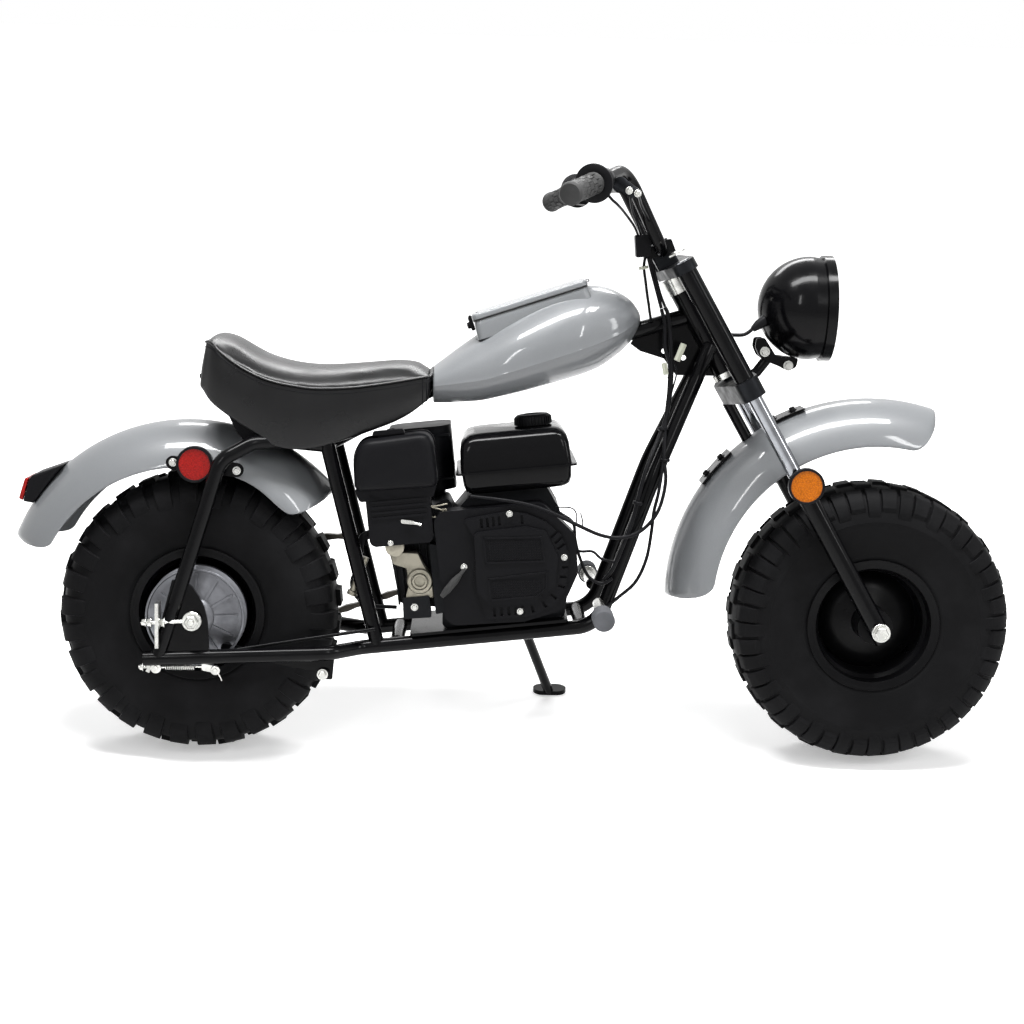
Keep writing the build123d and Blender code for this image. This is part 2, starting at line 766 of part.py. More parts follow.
def round_tips(which):
    """Rounds the four corners of a mudguard, each end seen square on."""
    x, z, crown, edge, half, wall, front_end, rear_end = mudguards[which]
    for end, outward in ((front_end, -1), (rear_end, 1)):
        out = Vector(cos(radians(end)), 0, sin(radians(end)))
        tip = Plane(
            origin=Vector(x, 0, z) + out * (edge - 60),
            x_dir=(0, outward, 0),
            z_dir=out,
        )
        with BuildSketch(tip, mode=Mode.PRIVATE) as waste:
            Rectangle(2 * half + 20, 2 * mudguard_corner)
            with Locations((0, -crown / 2)):
                RectangleRounded(2 * half, crown, mudguard_corner, mode=Mode.SUBTRACT)
        extrude(waste.sketch, amount=200, mode=Mode.SUBTRACT)


with BuildPart() as rear_mudguard:
    mudguard("rear")
    round_tips("rear")
    add(rear_stay_right.part, mode=Mode.SUBTRACT)
    add(rear_stay_left.part, mode=Mode.SUBTRACT)

with BuildPart() as front_mudguard:
    mudguard("front")
    round_tips("front")

with BuildPart() as tail_lamp:
    side_plate([(-229, 492), (-293, 470), (-309, 424), (-270, 400), (-200, 490)], -45, 45, 3)
    cross_disc(
        mudguards["rear"][0],
        mudguards["rear"][1],
        -60,
        60,
        2 * (mudguards["rear"][2] + seat_gap),
        Mode.SUBTRACT,
    )

# The lamp's red face, as (ahead of the rear axle, height) corners
with BuildPart() as tail_lamp_lens:
    side_plate([(-293.3, 470.1), (-309.3, 424.1), (-316, 426.4), (-300, 472.4)], -40, 40, 2)

reflector_radius = 28.0
strap_y = 106.0
strap_thickness = 4.0
with BuildPart() as mudguard_straps:
    side_plate([(-50, 500), (-50, 512), (84, 500), (84, 486)], -strap_y, -strap_y + strap_thickness)
    cross_disc(-36, 505, -strap_y, -70, 14)
    mudguard("rear", filled=True, mode=Mode.SUBTRACT)
    cross_disc(43, 497, -rear_y, -strap_y, 14)
    add(rear_stay_right.part, mode=Mode.SUBTRACT)
    mirror(about=Plane.XZ)

with BuildPart() as rear_reflectors:
    cross_disc(1, 502, -strap_y - seat_gap - 10, -strap_y - seat_gap, 2 * reflector_radius)
    add(mudguard_straps.part, mode=Mode.SUBTRACT)
    add(rear_stay_right.part, mode=Mode.SUBTRACT)
    mirror(about=Plane.XZ)

# Seat: a side outline as wide as the plan outline allows, hollow below over the frame
seat_half_width = 118.0
seat_wall = 12.0
with BuildPart() as seat:
    with BuildSketch(side_view(seat_half_width)):
        with BuildLine():
            Polyline(
                (2, 660), (7, 702), (26, 716), (52, 714), (110, 682), (170, 668), (240, 667),
                (347, 677), (392, 667), (392, 617), (362, 592), (331, 575), (260, 549),
                (204, 533), (163, 527), (127, 536), (91, 560), (55, 583), (24, 606), (4, 634),
                close=True,
            )
        make_face()
    extrude(amount=2 * seat_half_width)
    with BuildSketch(Plane.XY.offset(500)):
        with BuildLine():
            Polyline(
                (2, -90), (30, -112), (110, -seat_half_width), (220, -108), (392, -80),
                (392, 80), (220, 108), (110, seat_half_width), (30, 112), (2, 90),
                close=True,
            )
        make_face()
    extrude(amount=230, mode=Mode.INTERSECT)
    with BuildSketch(Plane.XY.offset(500)):
        with BuildLine():
            Polyline(
                (40, -96), (110, seat_wall - seat_half_width), (220, -98), (400, -68),
                (400, 68), (220, 98), (110, seat_half_width - seat_wall), (40, 96),
                close=True,
            )
        make_face()
    extrude(amount=112, mode=Mode.SUBTRACT)
    bar_between(backbone_bend, (300, 0, 590), 60, Mode.SUBTRACT)
    add(rear_stay_right.part, mode=Mode.SUBTRACT)
    add(rear_stay_left.part, mode=Mode.SUBTRACT)

# Storage cover over the backbone, from the seat to the head. Columns are the share of its length,
# underside z, top z and half width
cover_rear_x = 394.0
cover_length = backbone_head.X - 95 - cover_rear_x
cover_sections = (
    (0.00, 606, 668, 76),
    (0.22, 611, 718, 98),
    (0.47, 631, 776, 112),
    (0.73, 660, 806, 100),
    (0.90, 696, 797, 62),
    (1.00, 738, 768, 18),
)
box_half_width = 58.0
box_wall = 3.0
lid_thickness = 10.0
lid_rear = Vector(cover_rear_x + 0.19 * cover_length, 0, 748)
lid_front = Vector(cover_rear_x + 0.73 * cover_length, 0, 812)
lid_slope = degrees(atan2(lid_front.Z - lid_rear.Z, lid_front.X - lid_rear.X))
lid_length = hypot(lid_front.X - lid_rear.X, lid_front.Z - lid_rear.Z)
lid_plane = Plane(
    origin=lid_rear,
    x_dir=(cos(radians(lid_slope)), 0, sin(radians(lid_slope))),
    z_dir=(-sin(radians(lid_slope)), 0, cos(radians(lid_slope))),
)
box_depth = 62.0

# The lid's hinge: a barrel ahead of its front edge, between two knuckles on the cover
hinge_r = 3.0
hinge_pin_r = 1.5
hinge_half = 14.0
hinge_ahead = 4.0
hinge_knuckle = 9.0
lid_hinge = lid_plane.from_local_coords(Vector(lid_length + 1 + hinge_ahead, 0, lid_thickness / 2))

with BuildPart() as storage_cover:
    for share, low, high, half in cover_sections:
        middle = (cover_rear_x + share * cover_length, 0, (low + high) / 2)
        with BuildSketch(Plane(origin=middle, x_dir=(0, 1, 0), z_dir=(1, 0, 0))):
            RectangleRounded(2 * half, high - low, min(half, (high - low) / 2) * 0.8)
    loft()
    with BuildSketch(lid_plane):
        with Locations((lid_length / 2, 0)):
            RectangleRounded(lid_length - 4, 2 * box_half_width, 12)
    extrude(amount=-50)
    with BuildSketch(lid_plane):
        with Locations((lid_length / 2, 0)):
            RectangleRounded(lid_length - 4 - 2 * box_wall, 2 * (box_half_width - box_wall), 9)
    extrude(amount=-box_depth, mode=Mode.SUBTRACT)
    bar_between(backbone_head, backbone_bend, backbone_tube + 6, Mode.SUBTRACT)
    bar_between(backbone_head - Vector(0, 0, 30), backbone_bend - Vector(0, 0, 30), 34, Mode.SUBTRACT)
    add(backbone.part, mode=Mode.SUBTRACT)
    for inner in (-hinge_half - turning_gap - hinge_knuckle, hinge_half + turning_gap):
        cross_disc(lid_hinge.X, lid_hinge.Z, inner, inner + hinge_knuckle, 2 * hinge_r)
        side_plate(
            [
                (lid_hinge.X, lid_hinge.Z + 2),
                (lid_hinge.X + 12, lid_hinge.Z - 22),
                (lid_hinge.X, lid_hinge.Z - 22),
            ],
            inner,
            inner + hinge_knuckle,
        )
    pin_reach = hinge_half + turning_gap + hinge_knuckle
    cross_disc(lid_hinge.X, lid_hinge.Z, -pin_reach, pin_reach, 2 * hinge_pin_r)

with BuildPart() as storage_lid:
    with BuildSketch(lid_plane.offset(seat_gap)):
        with Locations((lid_length / 2, 0)):
            RectangleRounded(lid_length + 2, 2 * box_half_width + 8, 14)
    extrude(amount=lid_thickness)
    cross_disc(lid_hinge.X, lid_hinge.Z, -hinge_half, hinge_half, 2 * hinge_r)
    side_plate(
        [
            (lid_hinge.X, lid_hinge.Z - 2),
            (lid_hinge.X, lid_hinge.Z + 2),
            (lid_hinge.X - 8, lid_hinge.Z + 2),
            (lid_hinge.X - 8, lid_hinge.Z - 2),
        ],
        -hinge_half,
        hinge_half,
    )
    cross_disc(
        lid_hinge.X, lid_hinge.Z, -pin_reach, pin_reach,
        2 * (hinge_pin_r + turning_gap / 2), Mode.SUBTRACT,
    )

# Fork and handlebar

with BuildPart() as lower_yoke:
    with BuildSketch(fork.offset(lower_yoke_bottom)):
        with Locations((0, -fork_half_width), (0, fork_half_width)):
            Circle(stanchion_r + 9)
        with Locations((-fork_offset, 0)):
            Circle(head_r + 8)
        make_hull()
        with Locations((0, -fork_half_width), (0, fork_half_width)):
            Circle(stanchion_r + seat_gap, mode=Mode.SUBTRACT)
    extrude(amount=lower_yoke_thickness)
    with BuildSketch(fork.offset(lower_yoke_bottom)):
        with Locations((-fork_offset, 0)):
            Circle(stem_r)
    extrude(amount=upper_yoke_bottom + upper_yoke_thickness + 4 - lower_yoke_bottom)

riser_height = 44.0
riser_y = 32.0
bar_diameter = 22.0
bar_up = upper_yoke_bottom + upper_yoke_thickness + riser_height - 14
bar_ahead = -16.0

with BuildPart() as upper_yoke:
    with BuildSketch(fork.offset(upper_yoke_bottom + seat_gap)):
        with Locations((0, -fork_half_width), (0, fork_half_width)):
            Circle(stanchion_r + 8)
        with Locations((-fork_offset, 0)):
            Circle(head_r + 6)
        make_hull()
        with Locations((0, -fork_half_width), (0, fork_half_width)):
            Circle(stanchion_r + seat_gap, mode=Mode.SUBTRACT)
        with Locations((-fork_offset, 0)):
            Circle(stem_r + seat_gap, mode=Mode.SUBTRACT)
    extrude(amount=upper_yoke_thickness - seat_gap)
    with BuildSketch(fork.offset(upper_yoke_bottom + upper_yoke_thickness)):
        with Locations((bar_ahead, -riser_y), (bar_ahead, riser_y)):
            RectangleRounded(38, 20, 4)
    extrude(amount=riser_height)
    bar_between(
        on_fork(bar_ahead, -riser_y - 20, bar_up),
        on_fork(bar_ahead, riser_y + 20, bar_up),
        bar_diameter + 2 * seat_gap,
        Mode.SUBTRACT,
    )

with BuildPart() as fork_covers:
    with BuildSketch(fork.offset(lower_yoke_bottom + lower_yoke_thickness + seat_gap)):
        with Locations((0, -fork_half_width), (0, fork_half_width)):
            Circle(cover_diameter / 2)
            Circle(cover_diameter / 2 - cover_wall, mode=Mode.SUBTRACT)
    extrude(amount=upper_yoke_bottom - lower_yoke_bottom - lower_yoke_thickness - seat_gap)

stanchion_foot = 200.0
with BuildPart() as fork_tubes:
    with BuildSketch(fork.offset(stanchion_foot)):
        with Locations((0, -fork_half_width), (0, fork_half_width)):
            Circle(stanchion_r)
    extrude(amount=upper_yoke_bottom + upper_yoke_thickness + 2 - stanchion_foot)

with BuildPart() as fork_lower_legs:
    with BuildSketch(fork.offset(-20)):
        with Locations((0, -fork_half_width), (0, fork_half_width)):
            Circle(lower_leg_r)
    extrude(amount=lower_leg_length + 20)
    with BuildSketch(fork.offset(stanchion_foot - 5)):
        with Locations((0, -fork_half_width), (0, fork_half_width)):
            Circle(stanchion_r + seat_gap)
    extrude(amount=lower_leg_length, mode=Mode.SUBTRACT)
    cross_disc(
        wheelbase, axle_height, -front_axle_reach, front_axle_reach,
        axle_diameter + 2 * seat_gap, Mode.SUBTRACT,
    )

with BuildPart() as front_axle:
    cross_disc(wheelbase, axle_height, -front_axle_reach, front_axle_reach, axle_diameter)
    for outward in (-1, 1):
        nut(wheelbase, axle_height, outward * (fork_half_width + lower_leg_r + seat_gap), outward)
        spacer_from = outward * (hub_half_length + turning_gap)
        spacer_to = outward * (fork_half_width - lower_leg_r - seat_gap)
        cross_disc(wheelbase, axle_height, spacer_from, spacer_to, axle_diameter + 10)

with BuildPart() as mudguard_stay:
    bar_between(on_fork(-34, 0, 366), on_fork(-34, 0, lower_yoke_bottom - seat_gap), 20)
    mudguard("front", filled=True, mode=Mode.SUBTRACT)

with BuildPart() as front_reflectors:
    centre = on_fork(5, 0, 283)
    cross_disc(centre.X, centre.Z, -144, -134, 2 * reflector_radius)
    cross_disc(centre.X, centre.Z, -134, -fork_half_width - lower_leg_r - seat_gap, 14)
    mirror(about=Plane.XZ)

# Handlebar
grip_length = 118.0
grip_diameter = 33.0
bar_rise_y = 68.0
bar_top_y = 105.0
bar_knee = on_fork(bar_ahead, -bar_rise_y, bar_up)
bar_shoulder = on_fork(-9, -bar_top_y, 886)
bar_end = on_fork(-122, -368, 896)
bar_middle = on_fork(bar_ahead, 0, bar_up)

with BuildPart() as handlebar:
    bent_tube([bar_middle, bar_knee, bar_shoulder, bar_end], [28, 55], bar_diameter)
    mirror(about=Plane.XZ)

grip_way = (bar_end - bar_shoulder).normalized()
with BuildPart() as grips:
    bar_between(bar_end - grip_way * grip_length, bar_end + grip_way * 3, grip_diameter)
    bar_between(
        bar_end - grip_way * (grip_length + 1), bar_end - grip_way * (grip_length - 3), 58
    )
    bar_between(
        bar_end - grip_way * (grip_length + 9),
        bar_end,
        bar_diameter + 2 * seat_gap,
        Mode.SUBTRACT,
    )
    mirror(about=Plane.XZ)

with BuildPart() as control_housings:
    bar_between(
        bar_end - grip_way * (grip_length + 32), bar_end - grip_way * (grip_length + 1.5), 40
    )
    bar_between(
        bar_end - grip_way * (grip_length + 40),
        bar_end - grip_way * (grip_length - 9),
        bar_diameter + 2 * seat_gap,
        Mode.SUBTRACT,
    )
    mirror(about=Plane.XZ)

# Throttle cable: one run on the handlebar, down to the head, and one on the frame to the intake
cable_diameter = 7.0


def cable(points):
    """Adds a cable along straight runs, with arcs as wide as the runs allow."""
    runs = [b - a for a, b in zip(points, points[1:])]
    bends = [
        0.45 * min(a.length, b.length) / tan(radians(a.get_angle(b) / 2))
        for a, b in zip(runs, runs[1:])
    ]
    bent_tube(points, bends, cable_diameter)


def at_engine(x, y, up):
    """A point given ahead of, across and over the crank axis."""
    ahead, height = on_engine(x, up)
    return Vector(ahead, y, height)


with BuildPart() as bar_cable:
    cable(
        [
            on_fork(-70, -240, 884), on_fork(-92, -214, 850), on_fork(-78, -112, 806),
            on_fork(-62, -54, 752), on_fork(-50, -46, 668),
        ]
    )
    add(control_housings.part, mode=Mode.SUBTRACT)
    add(handlebar.part, mode=Mode.SUBTRACT)

with BuildPart() as throttle_cable:
    cable(
        [
            on_fork(-50, -44, 655), on_fork(-43, -50, 543.7),
            down_bend + (down_top - down_bend) * 0.19 + Vector(-2, -28, 2),
            Vector(748, -118, 425), Vector(714, -124, 388), at_engine(136, -125, 56),
            at_engine(66, -125, 90), at_engine(-44, -124, 113), at_engine(-100, -108, 116),
            at_engine(-135, -90, 112),
        ]
    )
    add(carburettor.part, mode=Mode.SUBTRACT)

# The brake lever, ahead of the left grip
lever_diameter = 10.0
lever_shift = Vector(42, 0, -6)
left_way = Vector(grip_way.X, -grip_way.Y, grip_way.Z)
left_end = Vector(bar_end.X, -bar_end.Y, bar_end.Z)
perch = left_end - left_way * (grip_length + 46)
with BuildPart() as brake_lever:
    bar_between(perch - left_way * 9, perch + left_way * 9, bar_diameter + 12)
    bent_tube(
        [perch, perch + lever_shift * 0.8, left_end - left_way * 30 + lever_shift],
        [14], lever_diameter,
    )
    add(handlebar.part, mode=Mode.SUBTRACT)

# Headlamp: a round shell and a lens, on a bracket from the lower yoke
lamp_centre = on_fork(164, 0, 526.5)
lamp_radius = 88.0
lamp_barrel = 30.0
lamp_rim = 16.0
lamp_rim_lap = 5.0
lamp_lens_x = lamp_centre.X + lamp_barrel
# The bracket's plate and the root of its arm, as (ahead of, above) the lamp's centre
lamp_plate = ((-100, -67), (-76, -44), (-36, -49), (-26, -95), (-34, -111), (-81, -99), (-96, -89))
lamp_arm = Vector(-88, 0, -87)

lens_radius = lamp_radius - 4
lens_edge = 5.0
lens_bulge = 13.0
lens_curve = (lens_radius**2 + lens_bulge**2) / (2 * lens_bulge)
lens_angle = degrees(atan2(lens_radius, lens_curve - lens_bulge))

with BuildPart() as headlamp:
    with BuildSketch(Plane.XZ) as lamp_section:
        with BuildLine():
            ThreePointArc(
                (lamp_centre.X - lamp_radius, lamp_centre.Z),
                (lamp_centre.X - lamp_radius * 0.7071, lamp_centre.Z + lamp_radius * 0.7071),
                (lamp_centre.X, lamp_centre.Z + lamp_radius),
            )
            Line(
                (lamp_centre.X, lamp_centre.Z + lamp_radius),
                (lamp_lens_x, lamp_centre.Z + lamp_radius - 4),
            )
            Line((lamp_lens_x, lamp_centre.Z + lamp_radius - 4), (lamp_lens_x, lamp_centre.Z))
            Line((lamp_lens_x, lamp_centre.Z), (lamp_centre.X - lamp_radius, lamp_centre.Z))
        make_face()
    revolve(axis=Axis(lamp_centre, (1, 0, 0)))
    rim_front = Vector(lamp_lens_x + lamp_rim_lap, 0, lamp_centre.Z)
    bar_between(rim_front - Vector(lamp_rim, 0, 0), rim_front, 2 * lamp_radius + 4)
    bar_between(
        (lamp_lens_x, 0, lamp_centre.Z), rim_front, 2 * (lens_radius + seat_gap), Mode.SUBTRACT
    )

with BuildPart() as headlamp_lens:
    with BuildSketch(Plane.XZ) as lens_section:
        back_x = lamp_lens_x + seat_gap
        rim_z = lamp_centre.Z + lens_radius
        with BuildLine():
            Line((back_x, lamp_centre.Z), (back_x, rim_z))
            Line((back_x, rim_z), (back_x + lens_edge, rim_z))
            CenterArc(
                (back_x + lens_edge + lens_bulge - lens_curve, lamp_centre.Z),
                lens_curve,
                lens_angle,
                -lens_angle,
            )
            Line((back_x + lens_edge + lens_bulge, lamp_centre.Z), (back_x, lamp_centre.Z))
        make_face()
    revolve(axis=Axis(lamp_centre, (1, 0, 0)))

with BuildPart() as headlamp_bracket:
    side_plate([(lamp_centre.X + x, lamp_centre.Z + z) for x, z in lamp_plate], -20, 20)
    bar_between(
        lamp_centre + lamp_arm,
        on_fork(10, 0, lower_yoke_bottom + lower_yoke_thickness / 2),
        20,
    )
    add(headlamp.part, mode=Mode.SUBTRACT)
    add(lower_yoke.part, mode=Mode.SUBTRACT)

# All pieces, set at the parked lean with the origin under the middle of the whole bike
pieces = {
    "head_tube": head_tube,
    "head_bearings": head_bearings,
    "backbone": backbone,
    "down_tubes": down_tubes,
    "lower_rail_right": lower_rail_right,
    "lower_rail_left": lower_rail_left,
    "seat_posts": seat_posts,
    "frame_crossbars": frame_crossbars,
    "rear_stay_right": rear_stay_right,
    "rear_stay_left": rear_stay_left,
    "axle_plate_right": axle_plate_right,
    "axle_plate_left": axle_plate_left,
    "rear_axle": rear_axle,
    "axle_spacers": axle_spacers,
    "brake_panel": brake_panel,
    "torque_strap": torque_strap,
    "foot_pegs": foot_pegs,
    "engine_mount": engine_mount,
    "crankcase": crankcase,
    "recoil_cover": recoil_cover,
    "engine_tank": engine_tank,
    "air_cleaner": air_cleaner,
    "carburettor": carburettor,
    "throttle_cable": throttle_cable,
    "muffler": muffler,
    "clutch": clutch,
    "chain": chain,
    "stand_bracket": stand_bracket,
    "side_stand": side_stand,
    "rear_mudguard": rear_mudguard,
    "tail_lamp": tail_lamp,
    "tail_lamp_lens": tail_lamp_lens,
    "mudguard_straps": mudguard_straps,
    "rear_reflectors": rear_reflectors,
    "seat": seat,
    "storage_cover": storage_cover,
    "storage_lid": storage_lid,
    "lower_yoke": lower_yoke,
    "upper_yoke": upper_yoke,
    "fork_covers": fork_covers,
    "fork_tubes": fork_tubes,
    "fork_lower_legs": fork_lower_legs,
    "front_axle": front_axle,
    "front_mudguard": front_mudguard,
    "mudguard_stay": mudguard_stay,
    "front_reflectors": front_reflectors,
    "handlebar": handlebar,
    "grips": grips,
    "control_housings": control_housings,
    "brake_lever": brake_lever,
    "bar_cable": bar_cable,
    "headlamp": headlamp,
    "headlamp_lens": headlamp_lens,
    "headlamp_bracket": headlamp_bracket,
    "front_tyre": front_tyre,
    "front_rim": front_rim,
    "rear_tyre": rear_tyre,
    "rear_rim": rear_rim,
    "rear_sprocket": rear_sprocket,
}

leaned_boxes = [(leaning * piece.part).bounding_box() for piece in pieces.values()]
middle_x = (min(b.min.X for b in leaned_boxes) + max(b.max.X for b in leaned_boxes)) / 2
middle_y = (min(b.min.Y for b in leaned_boxes) + max(b.max.Y for b in leaned_boxes)) / 2
parked = Pos(-middle_x, -middle_y, -tyre_sink) * leaning

for name, piece in pieces.items():
    piece.part = parked * piece.part
    piece.part.label = name
    export_step(piece.part, f"parts/{name}.step")
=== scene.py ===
import json
import math

import bmesh
import bpy
import numpy as np
from mathutils import Matrix, Vector


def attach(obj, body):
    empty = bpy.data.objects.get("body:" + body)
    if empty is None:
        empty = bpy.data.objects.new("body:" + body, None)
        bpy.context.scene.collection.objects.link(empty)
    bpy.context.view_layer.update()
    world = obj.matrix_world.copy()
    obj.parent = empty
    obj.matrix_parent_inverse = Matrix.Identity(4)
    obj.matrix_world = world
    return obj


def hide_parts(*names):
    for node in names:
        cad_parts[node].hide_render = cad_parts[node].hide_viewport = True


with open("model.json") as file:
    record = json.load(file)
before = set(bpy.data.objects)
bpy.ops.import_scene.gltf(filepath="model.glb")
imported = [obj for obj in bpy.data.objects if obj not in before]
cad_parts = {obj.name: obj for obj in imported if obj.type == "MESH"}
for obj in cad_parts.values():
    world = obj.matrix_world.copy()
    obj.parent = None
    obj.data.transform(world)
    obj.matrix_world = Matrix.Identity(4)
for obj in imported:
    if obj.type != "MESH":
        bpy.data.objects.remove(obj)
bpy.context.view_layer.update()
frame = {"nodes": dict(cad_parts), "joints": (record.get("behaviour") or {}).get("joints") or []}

# The bike's own upright frame, in millimetres: X forward from the rear axle, Y to the left, Z up
# from the ground. Everything below is drawn in it and then set at the parked lean.
joints = {joint["name"]: joint for joint in frame["joints"]}
WHEEL_R = 241.3
WHEELBASE = 1158.0
LEFT, RIGHT = (0, 1, 0), (0, -1, 0)
RAKE = math.radians(30.1)
across = Vector(joints["rear_wheel_spin"]["axis"])
lean = Matrix((Vector((1, 0, 0)), across, Vector((1, 0, 0)).cross(across))).transposed()
rear_axle = Vector(joints["rear_wheel_spin"]["pos_m"])


def place(points):
    """Upright bike millimetres to the scene's metres."""
    local = np.asarray(points, float).reshape(-1, 3) / 1000 - (0, 0, WHEEL_R / 1000)
    return local @ np.array(lean).T + np.array(rear_axle)


def on_fork(ahead, side, up):
    """A point in the fork's own frame: up along the legs from the front axle, and ahead of them."""
    return (
        WHEELBASE + ahead * math.cos(RAKE) - up * math.sin(RAKE),
        side,
        WHEEL_R + ahead * math.sin(RAKE) + up * math.cos(RAKE),
    )


FORK_UP = Vector(on_fork(0, 0, 1)) - Vector(on_fork(0, 0, 0))


# Materials


def linear(code):
    """An sRGB hex colour as linear light with alpha."""
    parts = [int(code[i : i + 2], 16) / 255 for i in (1, 3, 5)]
    return tuple(c / 12.92 if c <= 0.04045 else ((c + 0.055) / 1.055) ** 2.4 for c in parts) + (1,)


def node(tree, kind, inputs=None, **settings):
    """Adds a shader node, sets its settings, and sets or links each named input."""
    made = tree.nodes.new("ShaderNode" + kind)
    for key, value in settings.items():
        setattr(made, key, value)
    for key, value in (inputs or {}).items():
        if isinstance(value, bpy.types.NodeSocket):
            tree.links.new(value, made.inputs[key])
        else:
            made.inputs[key].default_value = value
    return made


def surface(name, code, roughness, metallic=0.0, tone=(), gloss=(), relief=(), **sockets):
    """A material with patterns in its colour, its roughness and its relief.

    A pattern starts with its texture's kind, scale and detail. Tone and gloss go on with two
    shades, each a colour or a factor on the plain value, and their places on the ramp. Relief
    goes on with the bump's strength and its depth in metres.
    """
    made = bpy.data.materials.new(name)
    made.use_nodes = True
    tree = made.node_tree
    shader = tree.nodes["Principled BSDF"]
    colour = made.diffuse_color = linear(code)
    sockets.update(base_color=colour, roughness=roughness, metallic=metallic)
    for key, value in sockets.items():
        shader.inputs[key.replace("_", " ").title().replace("Ior", "IOR")].default_value = value
    for socket, pattern, plain in (
        ("Base Color", tone, colour), ("Roughness", gloss, (roughness,) * 3), ("Normal", relief, ()),
    ):
        if not pattern:
            continue
        kind, scale, detail, low, high, start, end = (*pattern, 0.3, 0.7)[:7]
        inputs = {"Vector": node(tree, "TexCoord").outputs["Object"], "Scale": scale}
        if kind == "TexNoise":
            inputs["Detail"] = detail
        settings = {"bands_direction": "Y"} if kind == "TexWave" else {}
        texture = node(tree, kind, inputs, **settings)
        level = texture.outputs["Distance" if kind == "TexVoronoi" else "Fac"]
        if socket == "Normal":
            last = node(tree, "Bump", {"Height": level, "Strength": low, "Distance": high})
        else:
            last = node(tree, "ValToRGB", {"Fac": level})
            for stop, shade, at in zip(last.color_ramp.elements, (low, high), (start, end)):
                stop.position = at
                if not isinstance(shade, tuple):
                    shade = tuple(min(1, c * shade) for c in plain[:3]) + (1,)
                stop.color = shade
        tree.links.new(last.outputs[0], shader.inputs[socket])
    return made


def enamel(name, code, roughness):
    """Gloss paint on steel: a thin clear coat, faint orange peel and a little handling haze."""
    return surface(
        name, code, roughness, gloss=("TexNoise", 35, 5, 0.7, 1.7),
        relief=("TexNoise", 420, 2, 0.05, 0.0006),
        coat_weight=0.04, coat_roughness=0.03, specular_ior_level=0.07,
    )


def plastic(name, code, roughness, grain, depth):
    """Moulded plastic or powder coat: an even fine grain."""
    return surface(
        name, code, roughness, gloss=("TexNoise", 22, 4, 0.85, 1.2),
        relief=("TexNoise", grain, 3, 0.35, depth), specular_ior_level=0.07,
    )


def rubber(name, code, roughness):
    """Tyre or grip rubber: dull, faintly dusty, with a skin that is not quite even."""
    deep = linear(code)
    dusty = tuple(c * 1.6 + 0.0012 for c in deep[:3]) + (1,)
    return surface(
        name, code, roughness, tone=("TexNoise", 14, 6, deep, dusty, 0.45, 0.75),
        gloss=("TexNoise", 14, 6, 0.85, 1.15), relief=("TexNoise", 500, 4, 0.18, 0.0005),
        specular_ior_level=0.05,
    )


def bare_metal(name, code, roughness, grain=300.0, depth=0.0003):
    """Plated, cast or oiled metal: tone and gloss that vary a little from place to place."""
    return surface(
        name, code, roughness, 1.0, tone=("TexNoise", 45, 5, 0.72, 1.0, 0.35, 0.6),
        gloss=("TexNoise", 45, 5, 1.4, 0.8), relief=("TexNoise", grain, 3, 0.25, depth),
    )


def reflector(name, code):
    """A moulded reflector: a clear coloured face over small prisms."""
    return surface(
        name, code, 0.12, tone=("TexVoronoi", 430, 0, 1.0, 0.55, 0.1, 0.8),
        relief=("TexVoronoi", 430, 0, 0.35, 0.0008),
        coat_weight=0.25, coat_roughness=0.03, specular_ior_level=0.1,
    )


# Gloss black enamel on the frame tubes, fork covers, handlebar and lamp shell
black_paint = enamel("gloss_black_enamel", "#050506", 0.16)
# Silver-grey car paint on the mudguards and storage cover: fine flake under a clear coat
silver_paint = surface(
    "silver_grey_metallic_paint", "#5e6062", 0.4,
    tone=("TexVoronoi", 2600, 0, 0.86, 1.22, 0.1, 0.7), relief=("TexNoise", 260, 2, 0.04, 0.0006),
    coat_weight=0.45, coat_roughness=0.06, specular_ior_level=0.3,
)
# Tyre rubber
tyre_rubber = rubber("tyre_rubber", "#0b0b0c", 0.6)
# Hand grip rubber
grip_rubber = rubber("grip_rubber", "#343434", 0.5)
# Grey rubber on the foot pegs
peg_rubber = rubber("grey_peg_rubber", "#4c4d50", 0.6)
# Chromium plate on the fork tubes
chrome = bare_metal("chromium_plate", "#85878b", 0.1, 60, 0.00005)
# Zinc-plated nuts, bolts and axle ends
zinc = bare_metal("zinc_plated_steel", "#c4c4c0", 0.24)
# Cast aluminium on the brake panel and crankcase
aluminium = bare_metal("cast_aluminium", "#696a6e", 0.4, 650, 0.0003)
# Black-painted castings of the crankcase and cylinder
engine_cast = plastic("black_painted_casting", "#141517", 0.45, 500, 0.0006)
# Dark grey cast metal on the fork yokes
dark_cast = bare_metal("dark_cast_yoke", "#1d1e20", 0.4, 500, 0.0003)
# Oiled chain and sprocket steel
chain_steel = bare_metal("oiled_chain_steel", "#4a4742", 0.34)
# Rim enamel, thinner and duller than the frame's
rim_paint = plastic("satin_black_rim_paint", "#070708", 0.3, 300, 0.0001)
# Black moulded plastic on the starter cover, air cleaner and controls
black_plastic = plastic("black_moulded_plastic", "#0b0b0d", 0.42, 1500, 0.0003)
# Gloss black enamel on the engine's tank
tank_paint = enamel("engine_tank_enamel", "#060607", 0.12)
# Burnt black paint on the muffler guard
hot_black = plastic("muffler_black", "#0e0f12", 0.4, 220, 0.0008)
# Pale bare castings of the carburettor and its boot
pale_cast = bare_metal("pale_bare_casting", "#8a867a", 0.42, 420, 0.0005)
# Black insulation on cables and wires
wire_black = plastic("black_cable_sleeve", "#0e0e10", 0.38, 900, 0.0001)
# Natural nylon on the connectors and clips
connector_white = plastic("natural_nylon_connector", "#a3a597", 0.45, 700, 0.0001)
